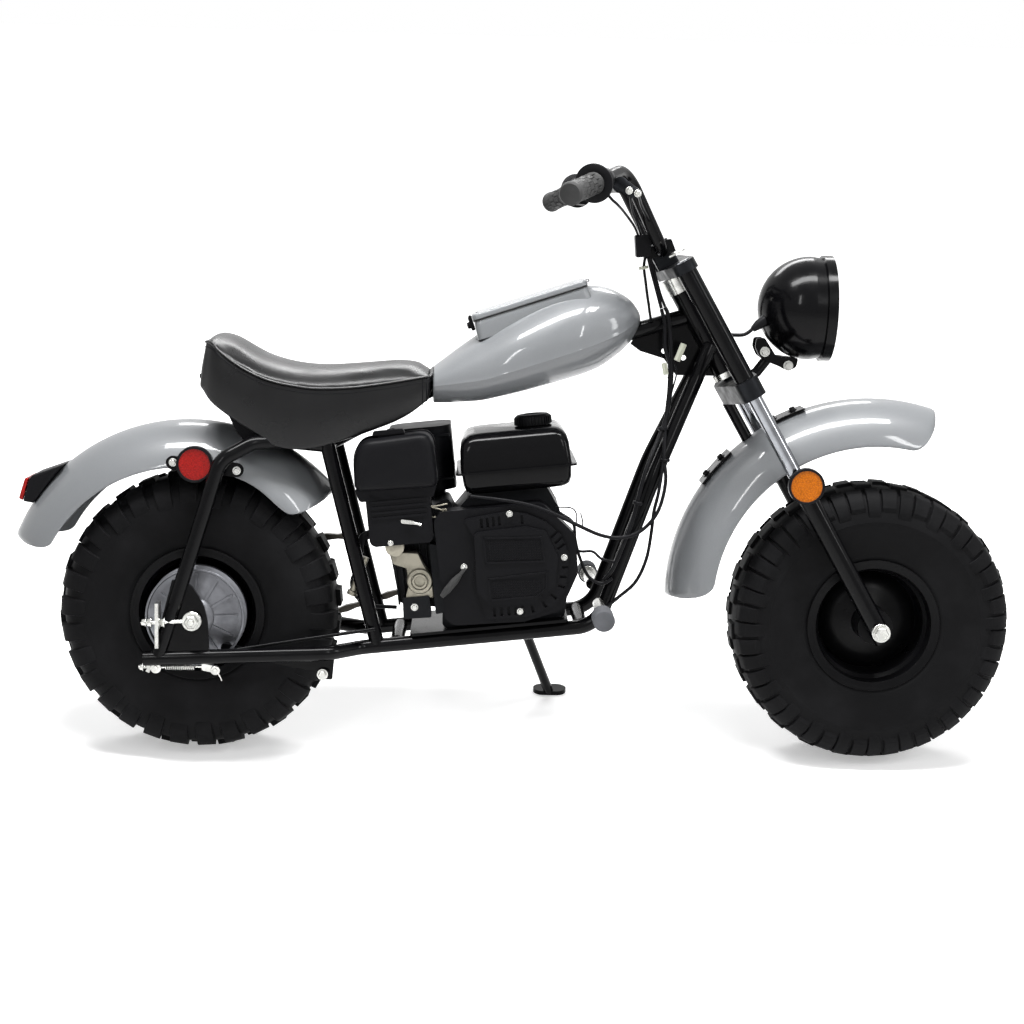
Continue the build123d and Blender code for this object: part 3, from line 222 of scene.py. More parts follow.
# Vinyl on the seat: glossy, with the fine pebble that the press leaves
seat_vinyl = surface(
    "black_seat_vinyl", "#070708", 0.3, gloss=("TexNoise", 16, 3, 0.8, 4 / 3),
    relief=("TexVoronoi", 900, 0, 0.22, 0.0005),
    coat_weight=0.1, coat_roughness=0.25, specular_ior_level=0.16,
)
# Thread in the seat's seams
seam_thread = rubber("black_seam_thread", "#141416", 0.7)
# Fluted headlamp glass: its pale colour is a painted reflection of the bright bowl behind it, with painted
# light and dark bands along the flutes
lamp_glass = surface(
    "fluted_lamp_glass", "#cfd4d8", 0.06, 0.35,
    # painted light and dark bands along the flutes, from the darker grey to the paler
    tone=("TexWave", 55, 0, linear("#8f979d"), linear("#e4e8ea"), 0.1, 0.9),
    relief=("TexWave", 55, 0, 0.5, 0.0015), coat_weight=1.0, coat_roughness=0.02,
)
# Red plastic on the stop switch
switch_red = plastic("red_switch_plastic", "#8e1010", 0.35, 900, 0.0001)
# Red reflector
red_face = reflector("red_reflector", "#930f09")
# Amber reflector
amber_face = reflector("amber_reflector", "#b45f03")

# What the CAD's own nodes wear where no scene piece takes their place. The rest is black enamel.
dress = {}
for material, names in (
    (zinc, "head_bearings rear_axle axle_spacers front_axle"),
    (aluminium, "brake_panel brake_lever"),
    (peg_rubber, "foot_pegs"),
    (engine_cast, "crankcase"),
    (black_plastic, "recoil_cover air_cleaner carburettor tail_lamp control_housings"),
    (tank_paint, "engine_tank"),
    (hot_black, "muffler"),
    (chain_steel, "clutch chain rear_sprocket"),
    (silver_paint, "rear_mudguard front_mudguard storage_cover storage_lid"),
    (red_face, "rear_reflectors tail_lamp_lens"),
    (amber_face, "front_reflectors"),
    (seat_vinyl, "seat"),
    (grip_rubber, "grips bar_cable throttle_cable"),
    (dark_cast, "lower_yoke upper_yoke"),
    (chrome, "fork_tubes"),
    (lamp_glass, "headlamp_lens"),
    (tyre_rubber, "front_tyre rear_tyre"),
    (rim_paint, "front_rim rear_rim"),
):
    dress.update(dict.fromkeys(names.split(), material))
for name, cad in frame["nodes"].items():
    cad.data.materials.clear()
    cad.data.materials.append(dress.get(name, black_paint))


# Mesh tools. A shape is a list of points in upright millimetres and a list of faces.


class Shape:
    """Collects simple forms, each with the number of its material."""

    def __init__(self):
        self.points, self.faces, self.slots = [], [], []

    def add(self, *forms, slot=0):
        """Adds the points and faces of some forms."""
        for points, faces in forms:
            first = len(self.points)
            self.points += [tuple(p) for p in points]
            self.faces += [tuple(first + i for i in face) for face in faces]
            self.slots += [slot] * len(faces)
        return self


def grid(rows, columns, wrap_rows=False, wrap_columns=True):
    """The quads between neighbouring rows of points."""
    faces = []
    for i in range(rows if wrap_rows else rows - 1):
        for j in range(columns if wrap_columns else columns - 1):
            a, b = i, (i + 1) % rows
            c, d = j, (j + 1) % columns
            faces.append((a * columns + c, a * columns + d, b * columns + d, b * columns + c))
    return faces


def loft(sections, caps=True, closed=False):
    """A skin through rings of points that all have the same count."""
    rows, columns = len(sections), len(sections[0])
    faces = grid(rows, columns, wrap_rows=closed)
    if caps and not closed:
        faces.append(tuple(range(columns))[::-1])
        faces.append(tuple((rows - 1) * columns + i for i in range(columns)))
    return [p for ring in sections for p in ring], faces


def basis(way):
    """Two unit vectors square to a direction."""
    way = Vector(way).normalized()
    side = way.cross(Vector((0, 0, 1)) if abs(way.z) < 0.9 else Vector((1, 0, 0))).normalized()
    return side, way.cross(side)


def revolve(profile, centre, way, steps=64, closed=False, caps=False):
    """Turns a profile of (along, radius) pairs about an axis through a centre."""
    side, other = basis(way)
    way, centre = Vector(way).normalized(), Vector(centre)
    rings = []
    turns = [2 * math.pi * k / steps for k in range(steps)]
    for along, radius in profile:
        at = centre + way * along
        rings.append([at + (side * math.cos(a) + other * math.sin(a)) * radius for a in turns])
    return loft(rings, caps=caps, closed=closed)


def hexagon(centre, way, flats, thick):
    """A bolt head or nut with a domed end and a washer under it."""
    side, other = basis(way)
    way, centre = Vector(way).normalized(), Vector(centre)
    rings = []
    turns = [math.pi * k / 3 for k in range(6)]
    for along, scale in ((0, 1.0), (thick * 0.8, 1.0), (thick, 0.86)):
        at, reach = centre + way * (along + 1.2), flats * 0.577 * scale
        rings.append([at + (side * math.cos(a) + other * math.sin(a)) * reach for a in turns])
    points, faces = loft(rings)
    washer, more = revolve(
        [(0, 0.01), (0, flats * 0.78), (1.2, flats * 0.78), (1.2, 0.01)], centre, way, 20
    )
    first = len(points)
    return points + washer, faces + [tuple(first + i for i in f) for f in more]


def make(name, shape, body, materials, stands_for=(), bevel=0.0, rounds=0, angle=38.0):
    """Makes one piece of a shape, rides it on a body and takes the place of CAD nodes."""
    mesh = bpy.data.meshes.new(name)
    mesh.from_pydata([tuple(p) for p in place(shape.points)], [], shape.faces)
    for material in materials:
        mesh.materials.append(material)
    mesh.polygons.foreach_set("material_index", shape.slots)
    tidy = bmesh.new()
    tidy.from_mesh(mesh)
    bmesh.ops.remove_doubles(tidy, verts=tidy.verts, dist=0.00001)
    bmesh.ops.recalc_face_normals(tidy, faces=tidy.faces)
    tidy.to_mesh(mesh)
    tidy.free()
    mesh.shade_smooth()
    made = bpy.data.objects.new(name, mesh)
    bpy.context.scene.collection.objects.link(made)
    if rounds:
        more = made.modifiers.new("rounded", "SUBSURF")
        more.levels = more.render_levels = rounds
    else:
        mesh.set_sharp_from_angle(angle=math.radians(angle))
    if bevel:
        edge = made.modifiers.new("edges", "BEVEL")
        edge.width = bevel / 1000
        edge.segments = 2
        edge.limit_method = "ANGLE"
        edge.angle_limit = math.radians(angle)
        edge.harden_normals = True
    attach(made, body)
    if stands_for:
        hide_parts(*stands_for)
    return made


def between(value, low, high):
    """How far a value lies between two others, from 0 to 1."""
    return min(1.0, max(0.0, (value - low) / (high - low)))


def along_table(x, table):
    """Straight-line lookup in a table of rows that start with x."""
    for a, b in zip(table, table[1:]):
        if x <= b[0]:
            t = between(x, a[0], b[0])
            return [u + (v - u) * t for u, v in zip(a[1:], b[1:])]
    return list(table[-1][1:])


# Tyres: a smooth carcass with closed lugs standing on it. The tables give half sections as
# (across, radius), for the lugs' tips and for the carcass under them.
TIPS = [(0, WHEEL_R), (36, 241.2), (71, 231.2), (82, 219), (88, 205), (89, 190)]


def walk(table, length):
    """The point at a length along a half section."""
    for (y0, r0), (y1, r1) in zip(table, table[1:]):
        step = math.hypot(y1 - y0, r1 - r0)
        if length <= step:
            t = length / step
            return y0 + (y1 - y0) * t, r0 + (r1 - r0) * t
        length -= step
    return table[-1]


def tyre(name, centre_x, body, node_name, deep, lugs, ridge):
    """A tyre with its lugs. Each lug is (first angle, last angle, start, end, side, rise)."""
    shape = Shape()
    root = [(0, WHEEL_R - deep), (35, 240.8 - deep), (68, 231 - deep), (79, 213), (84, 201), (87.6, 188)]
    wall = [(88.2, 172), (86.5, 155), (82.5, 138), (77.5, 126), (76.8, 121), (74.5, 118), (72.6, 114.8)]
    if ridge:
        wall = [(88.6, 183), (89.0, 181.4), (88.5, 180)] + wall
    half = root + wall
    profile = [(y, r) for y, r in half] + [(70, 102), (-70, 102)] + [(-y, r) for y, r in half[::-1]]
    shape.add(revolve(profile[:-1], (centre_x, 0, WHEEL_R), LEFT, 180, closed=True))
    total = sum(math.dist(a, b) for a, b in zip(TIPS, TIPS[1:]))
    steps = 8
    for first, last, start, end, side, rise in lugs:
        tops, feet = [], []
        for k in range(steps + 1):
            length = (start + (end - start) * k / steps) * total
            y, r = walk(TIPS, abs(length))
            y0, r0 = walk(root, abs(length) * 0.985)
            y, y0 = math.copysign(y, length) * side, math.copysign(y0, length) * side
            r = r0 + (r - r0) * rise
            y = y0 + (y - y0) * rise
            lead = (last - first) * 0.06
            for store, yy, rr, grow in ((tops, y, r, 0.0), (feet, y0, r0 - 1.2, lead)):
                ends = []
                for angle in (first - grow, last + grow):
                    a = math.radians(angle)
                    ends.append((centre_x + rr * math.cos(a), yy, WHEEL_R + rr * math.sin(a)))
                store.append(ends)
        rings = [[t[0], t[1], f[1], f[0]] for t, f in zip(tops, feet)]
        shape.add(loft(rings))
    return make(name, shape, body, [tyre_rubber], (node_name,), bevel=1.1, angle=32)


REAR_LUGS, FRONT_LUGS = 30, 24
rear_lugs = []
for k in range(REAR_LUGS):
    a = k * 360 / REAR_LUGS
    long = k % 2 == 0
    for side in (-1, 1):
        b = a if side > 0 else a + 180 / REAR_LUGS
        rear_lugs.append((b, b + 7.4, 0.50 if long else 0.40, 1.0 if long else 0.9, side, 1.0))
    rear_lugs.append((a + 1.5, a + 8.2, -0.12 if long else -0.30, 0.30 if long else 0.12, 1, 1.0))
tyre("rear_tyre_knobbly", 0, "rear_wheel", "rear_tyre", 8.0, rear_lugs, False)

front_lugs = []
for k in range(FRONT_LUGS):
    a = k * 360 / FRONT_LUGS
    for side in (-1, 1):
        b = a if side > 0 else a + 180 / FRONT_LUGS
        front_lugs.append((b, b + 6.4, 0.46, 0.86, side, 1.0))
        front_lugs.append((b + 7.5, b + 13.2, 0.42, 0.94, side, 0.9))
    front_lugs.append((a + 2, a + 8.5, -0.34, 0.02, 1, 1.0))
    front_lugs.append((a + 8.8, a + 14.6, -0.02, 0.36, 1, 1.0))
tyre("front_tyre_knobbly", WHEELBASE, "front_wheel", "front_tyre", 5.0, front_lugs, True)


# Rims: rolled lips, a drop centre, a dished disc with bolts, and the hub
def rim(name, centre_x, body, node_name, hub_right, hub_left, disc_y, bolts):
    """A pressed-steel rim with its hub, from the same sizes as its CAD node."""
    shape = Shape()
    half = 76.0
    section = [
        (half - 3, 102), (half - 3, 112.5), (half - 2, 114.4), (half, 114.2), (half, 112.4),
        (half - 1.0, 110), (half - 2.0, 99.5), (half - 24, 97.5), (half - 30, 91), (disc_y + 12, 90),
        (disc_y + 8, 84), (disc_y - 6, 72), (disc_y - 10, 56), (disc_y - 14, 44), (disc_y - 17, 31),
        (hub_left, 30), (hub_left, 9.5), (-hub_right, 9.5), (-hub_right, 30), (disc_y - 22, 31),
        (disc_y - 18, 44), (disc_y - 14, 56), (disc_y - 10, 72), (disc_y + 4, 86), (disc_y - 20, 91),
        (30 - half, 91), (24 - half, 97.5), (2.0 - half, 99.5), (1.0 - half, 110),
        (-half, 112.4), (-half, 114.2), (2 - half, 114.4), (3 - half, 112.5), (3 - half, 102),
    ]
    shape.add(revolve(section, (centre_x, 0, WHEEL_R), LEFT, 96, closed=True))
    for k in range(bolts):
        a = math.radians(45 + 90 * k)
        at = Vector((centre_x + 50 * math.cos(a), 0, WHEEL_R + 50 * math.sin(a)))
        for way, y in ((-1, disc_y - 19), (1, disc_y - 12)):
            shape.add(hexagon(at + Vector((0, y, 0)), (0, way, 0), 15, 9), slot=1)
    return make(name, shape, body, [rim_paint, zinc], (node_name,), bevel=0.5, angle=40)


rim("front_rim_steel", WHEELBASE, "front_wheel", "front_rim", 88, 88, -14.0, 0)
rim("rear_rim_steel", 0, "rear_wheel", "rear_rim", 54, 88, 10.0, 4)


# Mudguards: a shell along an arc, rounded at its tips, with a rolled edge.
def guard(name, body, node_name, centre, crown, edge, half, first, last, tip, flap):
    """The shell's mesh. The flap lowers the edges towards the first end, as angle and depth."""
    cx, cz = centre
    drop = crown - edge
    bow = (half * half + drop * drop) / (2 * drop)
    reach = math.asin(min(1, half / bow)) if drop < bow else math.pi - math.asin(half / bow)
    rows, columns = 72, 30
    rings = []
    for i in range(rows + 1):
        a = math.radians(first + (last - first) * i / rows)
        from_end = min(a - math.radians(first), math.radians(last) - a) * crown
        near = 1 - between(from_end, 0, tip)
        width = 1 - 0.55 * (1 - math.sqrt(max(0.0, 1 - near * near)))
        low = 1 + flap[1] * math.exp(-(((math.degrees(a) - flap[0]) / 9) ** 2))
        outer, inner = [], []
        for j in range(columns + 1):
            u = 2 * j / columns - 1
            swing = u * reach * width * low
            lip = 1.6 * between(abs(u), 0.955, 1.0)
            for store, thick in ((outer, -lip), (inner, 2.4)):
                r = crown - bow + (bow - thick) * math.cos(swing)
                y = (bow - thick) * math.sin(swing)
                y = max(-half, min(half, y))
                store.append((cx + r * math.cos(a), y, cz + r * math.sin(a)))
        rings.append(outer + inner[::-1])
    shape = Shape().add(loft(rings))
    return make(name, shape, body, [silver_paint], (node_name,), rounds=1)


FRONT_GUARD = (1153, 277)
guard(
    "front_mudguard_shell", "steering", "front_mudguard", FRONT_GUARD, 350, 274, 88, 72, 180, 42,
    (0, 0.0),
)
guard("rear_mudguard_shell", "frame", "rear_mudguard", (-19, 242), 325, 252, 98, 40, 158, 36, (50, 0.05))


# Engine trim. The engine's own frame is tilted with the rails, from its crank axis.
ENGINE_TILT = math.atan2(0.1126, 1)
CRANK_AT = (525.0, 342.3)
PANEL_FACE = -132.3
SHELL_FACE = -126.3
HOUSING_FACE = -118.3


def on_engine(ahead, side, up):
    """A point given ahead of, across and over the crank axis."""
    return (
        CRANK_AT[0] + ahead * math.cos(ENGINE_TILT) - up * math.sin(ENGINE_TILT),
        side,
        CRANK_AT[1] + ahead * math.sin(ENGINE_TILT) + up * math.cos(ENGINE_TILT),
    )


ENGINE_UP = Vector(on_engine(0, 0, 1)) - Vector(on_engine(0, 0, 0))


def engine_run(*points):
    """Several points of the engine's frame, as a path."""
    return [on_engine(*point) for point in points]


def engine_curve(*points):
    """A smooth path through several points of the engine's frame."""
    return smooth_path(engine_run(*points))


def upright(ahead, side, up):
    """A point of the bike's upright frame as it is."""
    return (ahead, side, up)


def rounded(outline, corner, steps=4):
    """A closed outline with its corners rounded."""
    points = []
    count = len(outline)
    for k, at in enumerate(outline):
        at = Vector(at)
        before, after = Vector(outline[k - 1]) - at, Vector(outline[(k + 1) % count]) - at
        back = before.normalized() * min(corner, before.length * 0.48)
        on = after.normalized() * min(corner, after.length * 0.48)
        for step in range(steps + 1):
            t = step / steps
            points.append(tuple(at + back * (1 - t) ** 2 + on * t**2))
    return points


def plate(outline, y_from, y_to, at=upright):
    """A plate cut to a side outline, through a frame's own mapping."""
    return loft([[at(x, y, z) for x, z in outline] for y in (y_from, y_to)])


def smooth_path(points, steps=8):
    """Points along a smooth line through the given ones."""
    ends = [2 * Vector(points[0]) - Vector(points[1])] + [Vector(p) for p in points]
    ends.append(2 * Vector(points[-1]) - Vector(points[-2]))
    path = []
    for a, b, c, d in zip(ends, ends[1:], ends[2:], ends[3:]):
        for k in range(steps):
            t = k / steps
            square, cube = 2 * a - 5 * b + 4 * c - d, 3 * b - a - 3 * c + d
            path.append(0.5 * (2 * b + (c - a) * t + square * t**2 + cube * t**3))
    return path + [ends[-2]]


def tube(path, radius, sides=12, closed=False):
    """A round tube along a path, as one radius or one for each point."""
    path = [Vector(p) for p in path]
    count = len(path)
    radii = radius if isinstance(radius, (list, tuple)) else [radius] * count
    side, other = basis(path[1] - path[0])
    rings = []
    for k, at in enumerate(path):
        after = path[(k + 1) % count] if closed or k + 1 < count else at
        before = path[k - 1] if closed or k else at
        way = (after - before).normalized()
        side = (side - way * side.dot(way)).normalized()
        other = way.cross(side)
        turns = [2 * math.pi * j / sides for j in range(sides)]
        rings.append([at + (side * math.cos(a) + other * math.sin(a)) * radii[k] for a in turns])
    return loft(rings, caps=not closed, closed=closed)


def pierced(columns, rows, size, hole, at):
    """A flat panel of square cells, each with a round hole through it."""
    points, faces = [], []
    for i in range(columns):
        for j in range(rows):
            first = len(points)
            for depth in (0.0, 1.0):
                for outside in (True, False):
                    for k in range(8):
                        u, v = math.cos(math.pi / 4 * k), math.sin(math.pi / 4 * k)
                        reach = size / 2 / max(abs(u), abs(v)) if outside else hole / 2
                        points.append(at((i + 0.5) * size + reach * u, (j + 0.5) * size + reach * v, depth))
            for k in range(8):
                n = (k + 1) % 8
                faces.append((first + k, first + n, first + 8 + n, first + 8 + k))
                faces.append((first + 8 + k, first + 8 + n, first + 24 + n, first + 24 + k))
    return points, faces


# The starter panel's two pierced fields with their raised bars, and the cover's screws
PIERCE_PITCH, PIERCE_HOLE = 4.2, 3.0


def on_panel(u, v, depth):
    """A place on the pierced panel, whose rows of holes fall a little towards the front."""
    return on_engine(u, PANEL_FACE - 1.2 + depth * 1.1, v - u * 0.07)


panel = Shape()
for left, low, columns, rows in ((-30, 12, 21, 8), (-28, -52, 20, 7)):
    panel.add(
        pierced(
            columns, rows, PIERCE_PITCH, PIERCE_HOLE,
            lambda u, v, depth, left=left, low=low: on_panel(left + u, low + v, depth),
        )
    )
for outline in (
    [(-36, 50), (60, 43), (60, 46), (-36, 53)], [(-36, 8), (62, 2), (62, 5), (-36, 11)],
    [(-34, -20), (64, -17), (64, -14), (-34, -17)], [(-34, -56), (42, -56), (42, -53), (-34, -53)],
    [(-36, 53), (-33, 53), (-33, 8), (-36, 8)], [(60, 46), (63, 46), (65, 2), (62, 2)],
    [(-34, -17), (-31, -17), (-31, -56), (-34, -56)], [(64, -14), (67, -14), (64, -42), (61, -42)],
    [(61, -42), (64, -42), (45, -56), (41, -56)],
):
    panel.add(plate(outline, PANEL_FACE, PANEL_FACE - 2.4, on_engine))
make("starter_panel_grille", panel, "frame", [black_plastic], bevel=0.35)

screws = Shape()
for x, up, face, size in (
    (12, 88, SHELL_FACE, 7), (97, 6, SHELL_FACE, 7), (15, -79, SHELL_FACE, 7),
    (-72, 4, HOUSING_FACE, 7), (-191, 55, -114, 6), (-163, -63, -86, 8),
):
    screws.add(hexagon(on_engine(x, face, up), RIGHT, size, 4))
make("engine_screws", screws, "frame", [zinc], bevel=0.3)

# The ribbed filler cap
cap = Shape()
cap_way = ENGINE_UP
cap_foot = on_engine(67, -25, 224)
profile = [(0, 30.6), (12, 30.6), (15, 29.5), (17.5, 26.5), (18.3, 20), (16.6, 17), (16.4, 0.01)]
cap.add(revolve(profile, cap_foot, cap_way, 72))
for k in range(36):
    a = 2 * math.pi * k / 36
    side, other = basis(cap_way)
    out = side * math.cos(a) + other * math.sin(a)
    cross = cap_way.cross(out)
    rings = []
    for along, reach in ((1, 32.4), (12, 32.4), (14.5, 30.6)):
        at = Vector(cap_foot) + cap_way * along
        corners = ((28, -1.3), (reach, -1.0), (reach, 1.0), (28, 1.3))
        rings.append([at + out * u + cross * v for u, v in corners])
    cap.add(loft(rings))
make("filler_cap_ribbed", cap, "frame", [black_plastic], bevel=0.2)

# Air cleaner clip, the choke's lever and the plug's boot with its lead
intake = Shape()
intake.add(plate(rounded([(-205, 236), (-150, 236), (-152, 243), (-203, 243)], 3), -100, -84, on_engine))
intake.add(
    plate(rounded([(-170, 94), (-148, 89), (-148, 83), (-170, 87)], 3), -117.5, -114.6, on_engine),
    tube(engine_run((-150, -116, 86), (-142, -120, 84), (-136, -122, 82)), 2.6),
    slot=1,
)
intake.add(
    tube(engine_curve((-200, -40, 66), (-236, -52, 62), (-243, -54, 48)), 8),
    tube(
        engine_curve(
            (-243, -54, 50), (-250, -56, 20), (-268, -52, -20), (-250, -40, -58), (-196, -34, -70),
        ),
        3.4,
    ),
)
make("intake_and_plug_trim", intake, "frame", [black_plastic, zinc], bevel=0.4)

# The muffler's pierced guard
GUARD_Y, GUARD_THICK, GUARD_PITCH, GUARD_HOLE = 129.6, 1.4, 7.2, 4.6


def on_guard(u, v, depth):
    """A place on the muffler's guard, from its rear lower corner."""
    return on_engine(-176 + u, GUARD_Y + GUARD_THICK * (1 - depth), 142 + v)


guard_plate = Shape()
guard_plate.add(pierced(13, 10, GUARD_PITCH, GUARD_HOLE, on_guard))
for side, face in ((129, 133), (14, 8)):
    for low in (138, 214):
        outline = [(-180, low), (-78, low), (-78, low + 4), (-180, low + 4)]
        guard_plate.add(plate(outline, side, face, on_engine))
make("muffler_guard", guard_plate, "frame", [hot_black], bevel=0.3)


# Seat: a foam pad under vinyl, blown up by a cloth run, on a skirt with piped and stitched seams
SEAT_TOP = (
    (4, 712), (12, 718), (23, 721), (36, 720), (49, 716), (64, 708), (80, 698), (97, 688),
    (117, 679), (142, 672), (169, 667), (200, 665), (232, 666), (264, 669), (295, 672),
    (322, 675), (347, 676), (366, 674), (380, 670), (391, 664),
)
SEAT_SEAM = (
    (4, 703), (14, 705), (25, 702), (43, 688), (64, 672), (88, 658), (112, 647), (139, 639),
    (190, 631), (225, 631), (261, 633), (300, 638), (332, 643), (382, 652), (391, 653),
)
SEAT_FOOT = (
    (4, 640), (10, 622), (24, 605), (55, 583), (91, 560), (127, 536), (145, 530), (163, 528),
    (185, 529), (204, 532), (260, 548), (331, 575), (362, 592), (391, 618),
)
SEAT_HALF = (
    (4, 86), (12, 98), (22, 106), (40, 112), (70, 115), (110, 117), (160, 114), (220, 107),
    (300, 95), (391, 79),
)


SEAT_REAR, SEAT_FRONT, SEAT_MIDDLE = 4, 391, 100


def lookup(table, x):
    """A smooth reading of a two-column table."""
    reach = 9.0
    return sum(
        along_table(min(SEAT_FRONT, max(SEAT_REAR, x + d)), table)[0] for d in (-reach, 0, reach)
    ) / 3


def rear_slant(x):
    """How far the seat's rear end leans forward at the seam, fading out by 40 mm."""
    return 14 * max(0.0, 1 - max(x, SEAT_REAR) / 40)


def skirt_swell(t):
    """How far the skirt stands out, from its seam at 0 to its foot at 1."""
    return 2.6 * math.sin(math.pi * t) - 5 * t * t


def seat_ring(x, lean_in):
    """One closed section of the pad: the crowned top and the flat foam base under the seam."""
    half, seam, top = lookup(SEAT_HALF, x) + 3.5 - lean_in, lookup(SEAT_SEAM, x), lookup(SEAT_TOP, x) - 2
    x += rear_slant(x) - lean_in * 0.5 * (1 if x < SEAT_MIDDLE else -1)
    ring = []
    for k in range(25):
        v = math.sin((k / 24 - 0.5) * math.pi)
        rise = max(0.0, 1 - abs(v) ** 2.2) ** 0.62
        ring.append((x, half * v, seam + (top - seam) * rise))
    for v in (0.96, 0.5, 0.0, -0.5, -0.96):
        ring.append((x, half * v, seam - 11))
    return ring


stops = [5, 8, 13] + [20 + 371 * k / 44 for k in range(44)] + [389]
pad_shape = Shape().add(loft([seat_ring(x, 4 if x in (5, 389) else 0) for x in stops]))
pad = make("seat_pad", pad_shape, "frame", [seat_vinyl], ("seat",))
VOXEL, PRESSURE, CAP, CLOTH_FRAMES = 0.005, 4, 0.0025, 20


def inflate(pad):
    """Remeshes a pad, runs it as pressurised cloth, and keeps each point within the cap."""
    remesh = pad.modifiers.new("voxels", "REMESH")
    remesh.mode, remesh.voxel_size, remesh.use_smooth_shade = "VOXEL", VOXEL, True
    bpy.context.view_layer.update()
    graph = bpy.context.evaluated_depsgraph_get()
    pad.data = bpy.data.meshes.new_from_object(pad.evaluated_get(graph))
    pad.modifiers.clear()
    start = np.array([vertex.co[:] for vertex in pad.data.vertices])
    cloth = pad.modifiers.new("cloth", "CLOTH")
    cloth.settings.use_pressure = True
    cloth.settings.uniform_pressure_force = PRESSURE
    cloth.settings.effector_weights.gravity = 0
    cloth.settings.tension_stiffness = cloth.settings.compression_stiffness = 12
    scene = bpy.context.scene
    for step in range(1, CLOTH_FRAMES + 1):
        scene.frame_set(step)
    graph = bpy.context.evaluated_depsgraph_get()
    blown = bpy.data.meshes.new_from_object(pad.evaluated_get(graph))
    moved = np.array([vertex.co[:] for vertex in blown.vertices]) - start
    length = np.linalg.norm(moved, axis=1)
    keep = np.minimum(1.0, CAP / np.maximum(length, 1e-9))
    blown.vertices.foreach_set("co", (start + moved * keep[:, None]).ravel())
    pad.modifiers.clear()
    pad.data = blown
    scene.frame_set(1)


inflate(pad)
pad.data.shade_smooth()
taut = pad.modifiers.new("taut", "SMOOTH")
taut.factor, taut.iterations = 0.5, 14
softer = pad.modifiers.new("soft", "SUBSURF")
softer.levels = softer.render_levels = 1

REAR_HALF, FRONT_HALF = 86, 79


def seat_side(x, side):
    """A point of the perimeter on one of the seat's long sides."""
    half, seam, foot = (lookup(table, x) for table in (SEAT_HALF, SEAT_SEAM, SEAT_FOOT))
    return (x, side * half, seam, foot, 0.0, side)


# The perimeter at the seam, as (x, y, seam height, foot height, outward x, outward y)
edge = [seat_side(x, -1.0) for x in stops[::-1]]
for k in range(1, 12):
    y = REAR_HALF * (k / 6 - 1)
    edge.append((2.6 - 1.2 * math.cos(y / REAR_HALF * 1.4), y, 702, 640, -1.0, 0.0))
edge += [seat_side(x, 1.0) for x in stops]
for k in range(1, 10):
    y = FRONT_HALF * (1 - k / 5)
    edge.append((392.5, y, 653 + 9 * math.cos(y / FRONT_HALF * 1.5), 618, 1.0, 0.0))
skirt = Shape()
rings = []
for x, y, seam, foot, out_x, out_y in edge:
    outer, inner = [], []
    for k in range(10):
        t = k / 9
        swell = skirt_swell(t)
        z = seam + 1 - (seam + 1 - foot) * t
        at = x + rear_slant(x) * (1 - t)
        outer.append((at + out_x * min(swell, 0), y + out_y * swell, z))
        inner.append((at + out_x * (min(swell, 0) - 4), y + out_y * (swell - 4), max(z, foot + 1.5)))
    rings.append(outer + inner[::-1])
skirt.add(loft(rings, closed=True))
make("seat_skirt", skirt, "frame", [seat_vinyl], ("seat",), rounds=1)

base = Shape()
rings = []
for x in stops:
    half = lookup(SEAT_HALF, x) - 9
    level = max(lookup(SEAT_FOOT, x) + 14, 612)
    rings.append([(x, -half, level), (x, half, level), (x, half, level + 5), (x, -half, level + 5)])
base.add(loft(rings))
make("seat_base_board", base, "frame", [black_plastic], ("seat",))

seams = Shape()
for slant, out, rise, radius, sides, slot in ((1.0, 0.8, 1.5, 2.3, 8, 0), (0.9, 0.9, -7, 0.8, 6, 1)):
    line = [
        (x + rear_slant(x) * slant + out_x * 0.2, y + out_y * out, seam + rise)
        for x, y, seam, foot, out_x, out_y in edge
    ]
    seams.add(tube(line, radius, sides, closed=True), slot=slot)
for x in (378, 385):
    foot = lookup(SEAT_FOOT, x)
    seam = lookup(SEAT_SEAM, x)
    for side in (-1, 1):
        wall = []
        for k in range(14):
            t = k / 13
            half = lookup(SEAT_HALF, x) + skirt_swell(t) + 0.3
            wall.append((x, side * half, seam + 1 - (seam + 1 - foot) * t))
        seams.add(tube(wall, 0.9, 6), slot=1)
make("seat_seams", seams, "frame", [seat_vinyl, seam_thread])

# Storage lid with its rolled edge and hinge barrel, the gasket under it and the latch
COVER_REAR, COVER_LENGTH = 394.0, 351.7
LID_REAR = Vector((COVER_REAR + 0.19 * COVER_LENGTH, 0, 748))
LID_FRONT = Vector((COVER_REAR + 0.73 * COVER_LENGTH, 0, 812))
LID_WAY = (LID_FRONT - LID_REAR).normalized()
LID_UP = Vector((-LID_WAY.z, 0, LID_WAY.x))
LID_LENGTH = (LID_FRONT - LID_REAR).length


def on_lid(along, side, up):
    """A point along, across and over the lid's seat."""
    at = LID_REAR + LID_WAY * along + LID_UP * up
    return (at.x, side, at.z)


def lid_outline(grow, corner):
    """The lid's rounded plan outline, grown by a margin."""
    half = 62.0 + grow
    low, high = -1 - grow, LID_LENGTH + 1 + grow
    return rounded([(low, -half), (high, -half), (high, half), (low, half)], corner, 6)


lid = Shape()
steps = ((0.6, 0.3, 13), (0.6, 5.6, 13), (-0.3, 8.2, 13), (-2.4, 9.7, 12), (-9, 10.2, 10), (-24, 10.8, 6))
lid.add(loft([[on_lid(a, b, up) for a, b in lid_outline(grow, corner)] for grow, up, corner in steps]))
hinge_at = on_lid(LID_LENGTH + 5, 0, 5)
lid.add(revolve([(-14, 1.75), (-14, 3), (14, 3), (14, 1.75)], hinge_at, LEFT, 24, closed=True))
leaf = (LID_LENGTH - 4, LID_LENGTH + 3)
lid.add(
    plate([(leaf[0], 3.2), (leaf[1], 3.2), (leaf[1], 6.4), (leaf[0], 6.4)], -14, 14, on_lid),
    plate([(8, 10), (8, 11.6), (10, 11.6), (10, 10)], -40, 40, on_lid),
)
make("storage_lid_pressed", lid, "storage_lid", [silver_paint], ("storage_lid",), bevel=0.3)
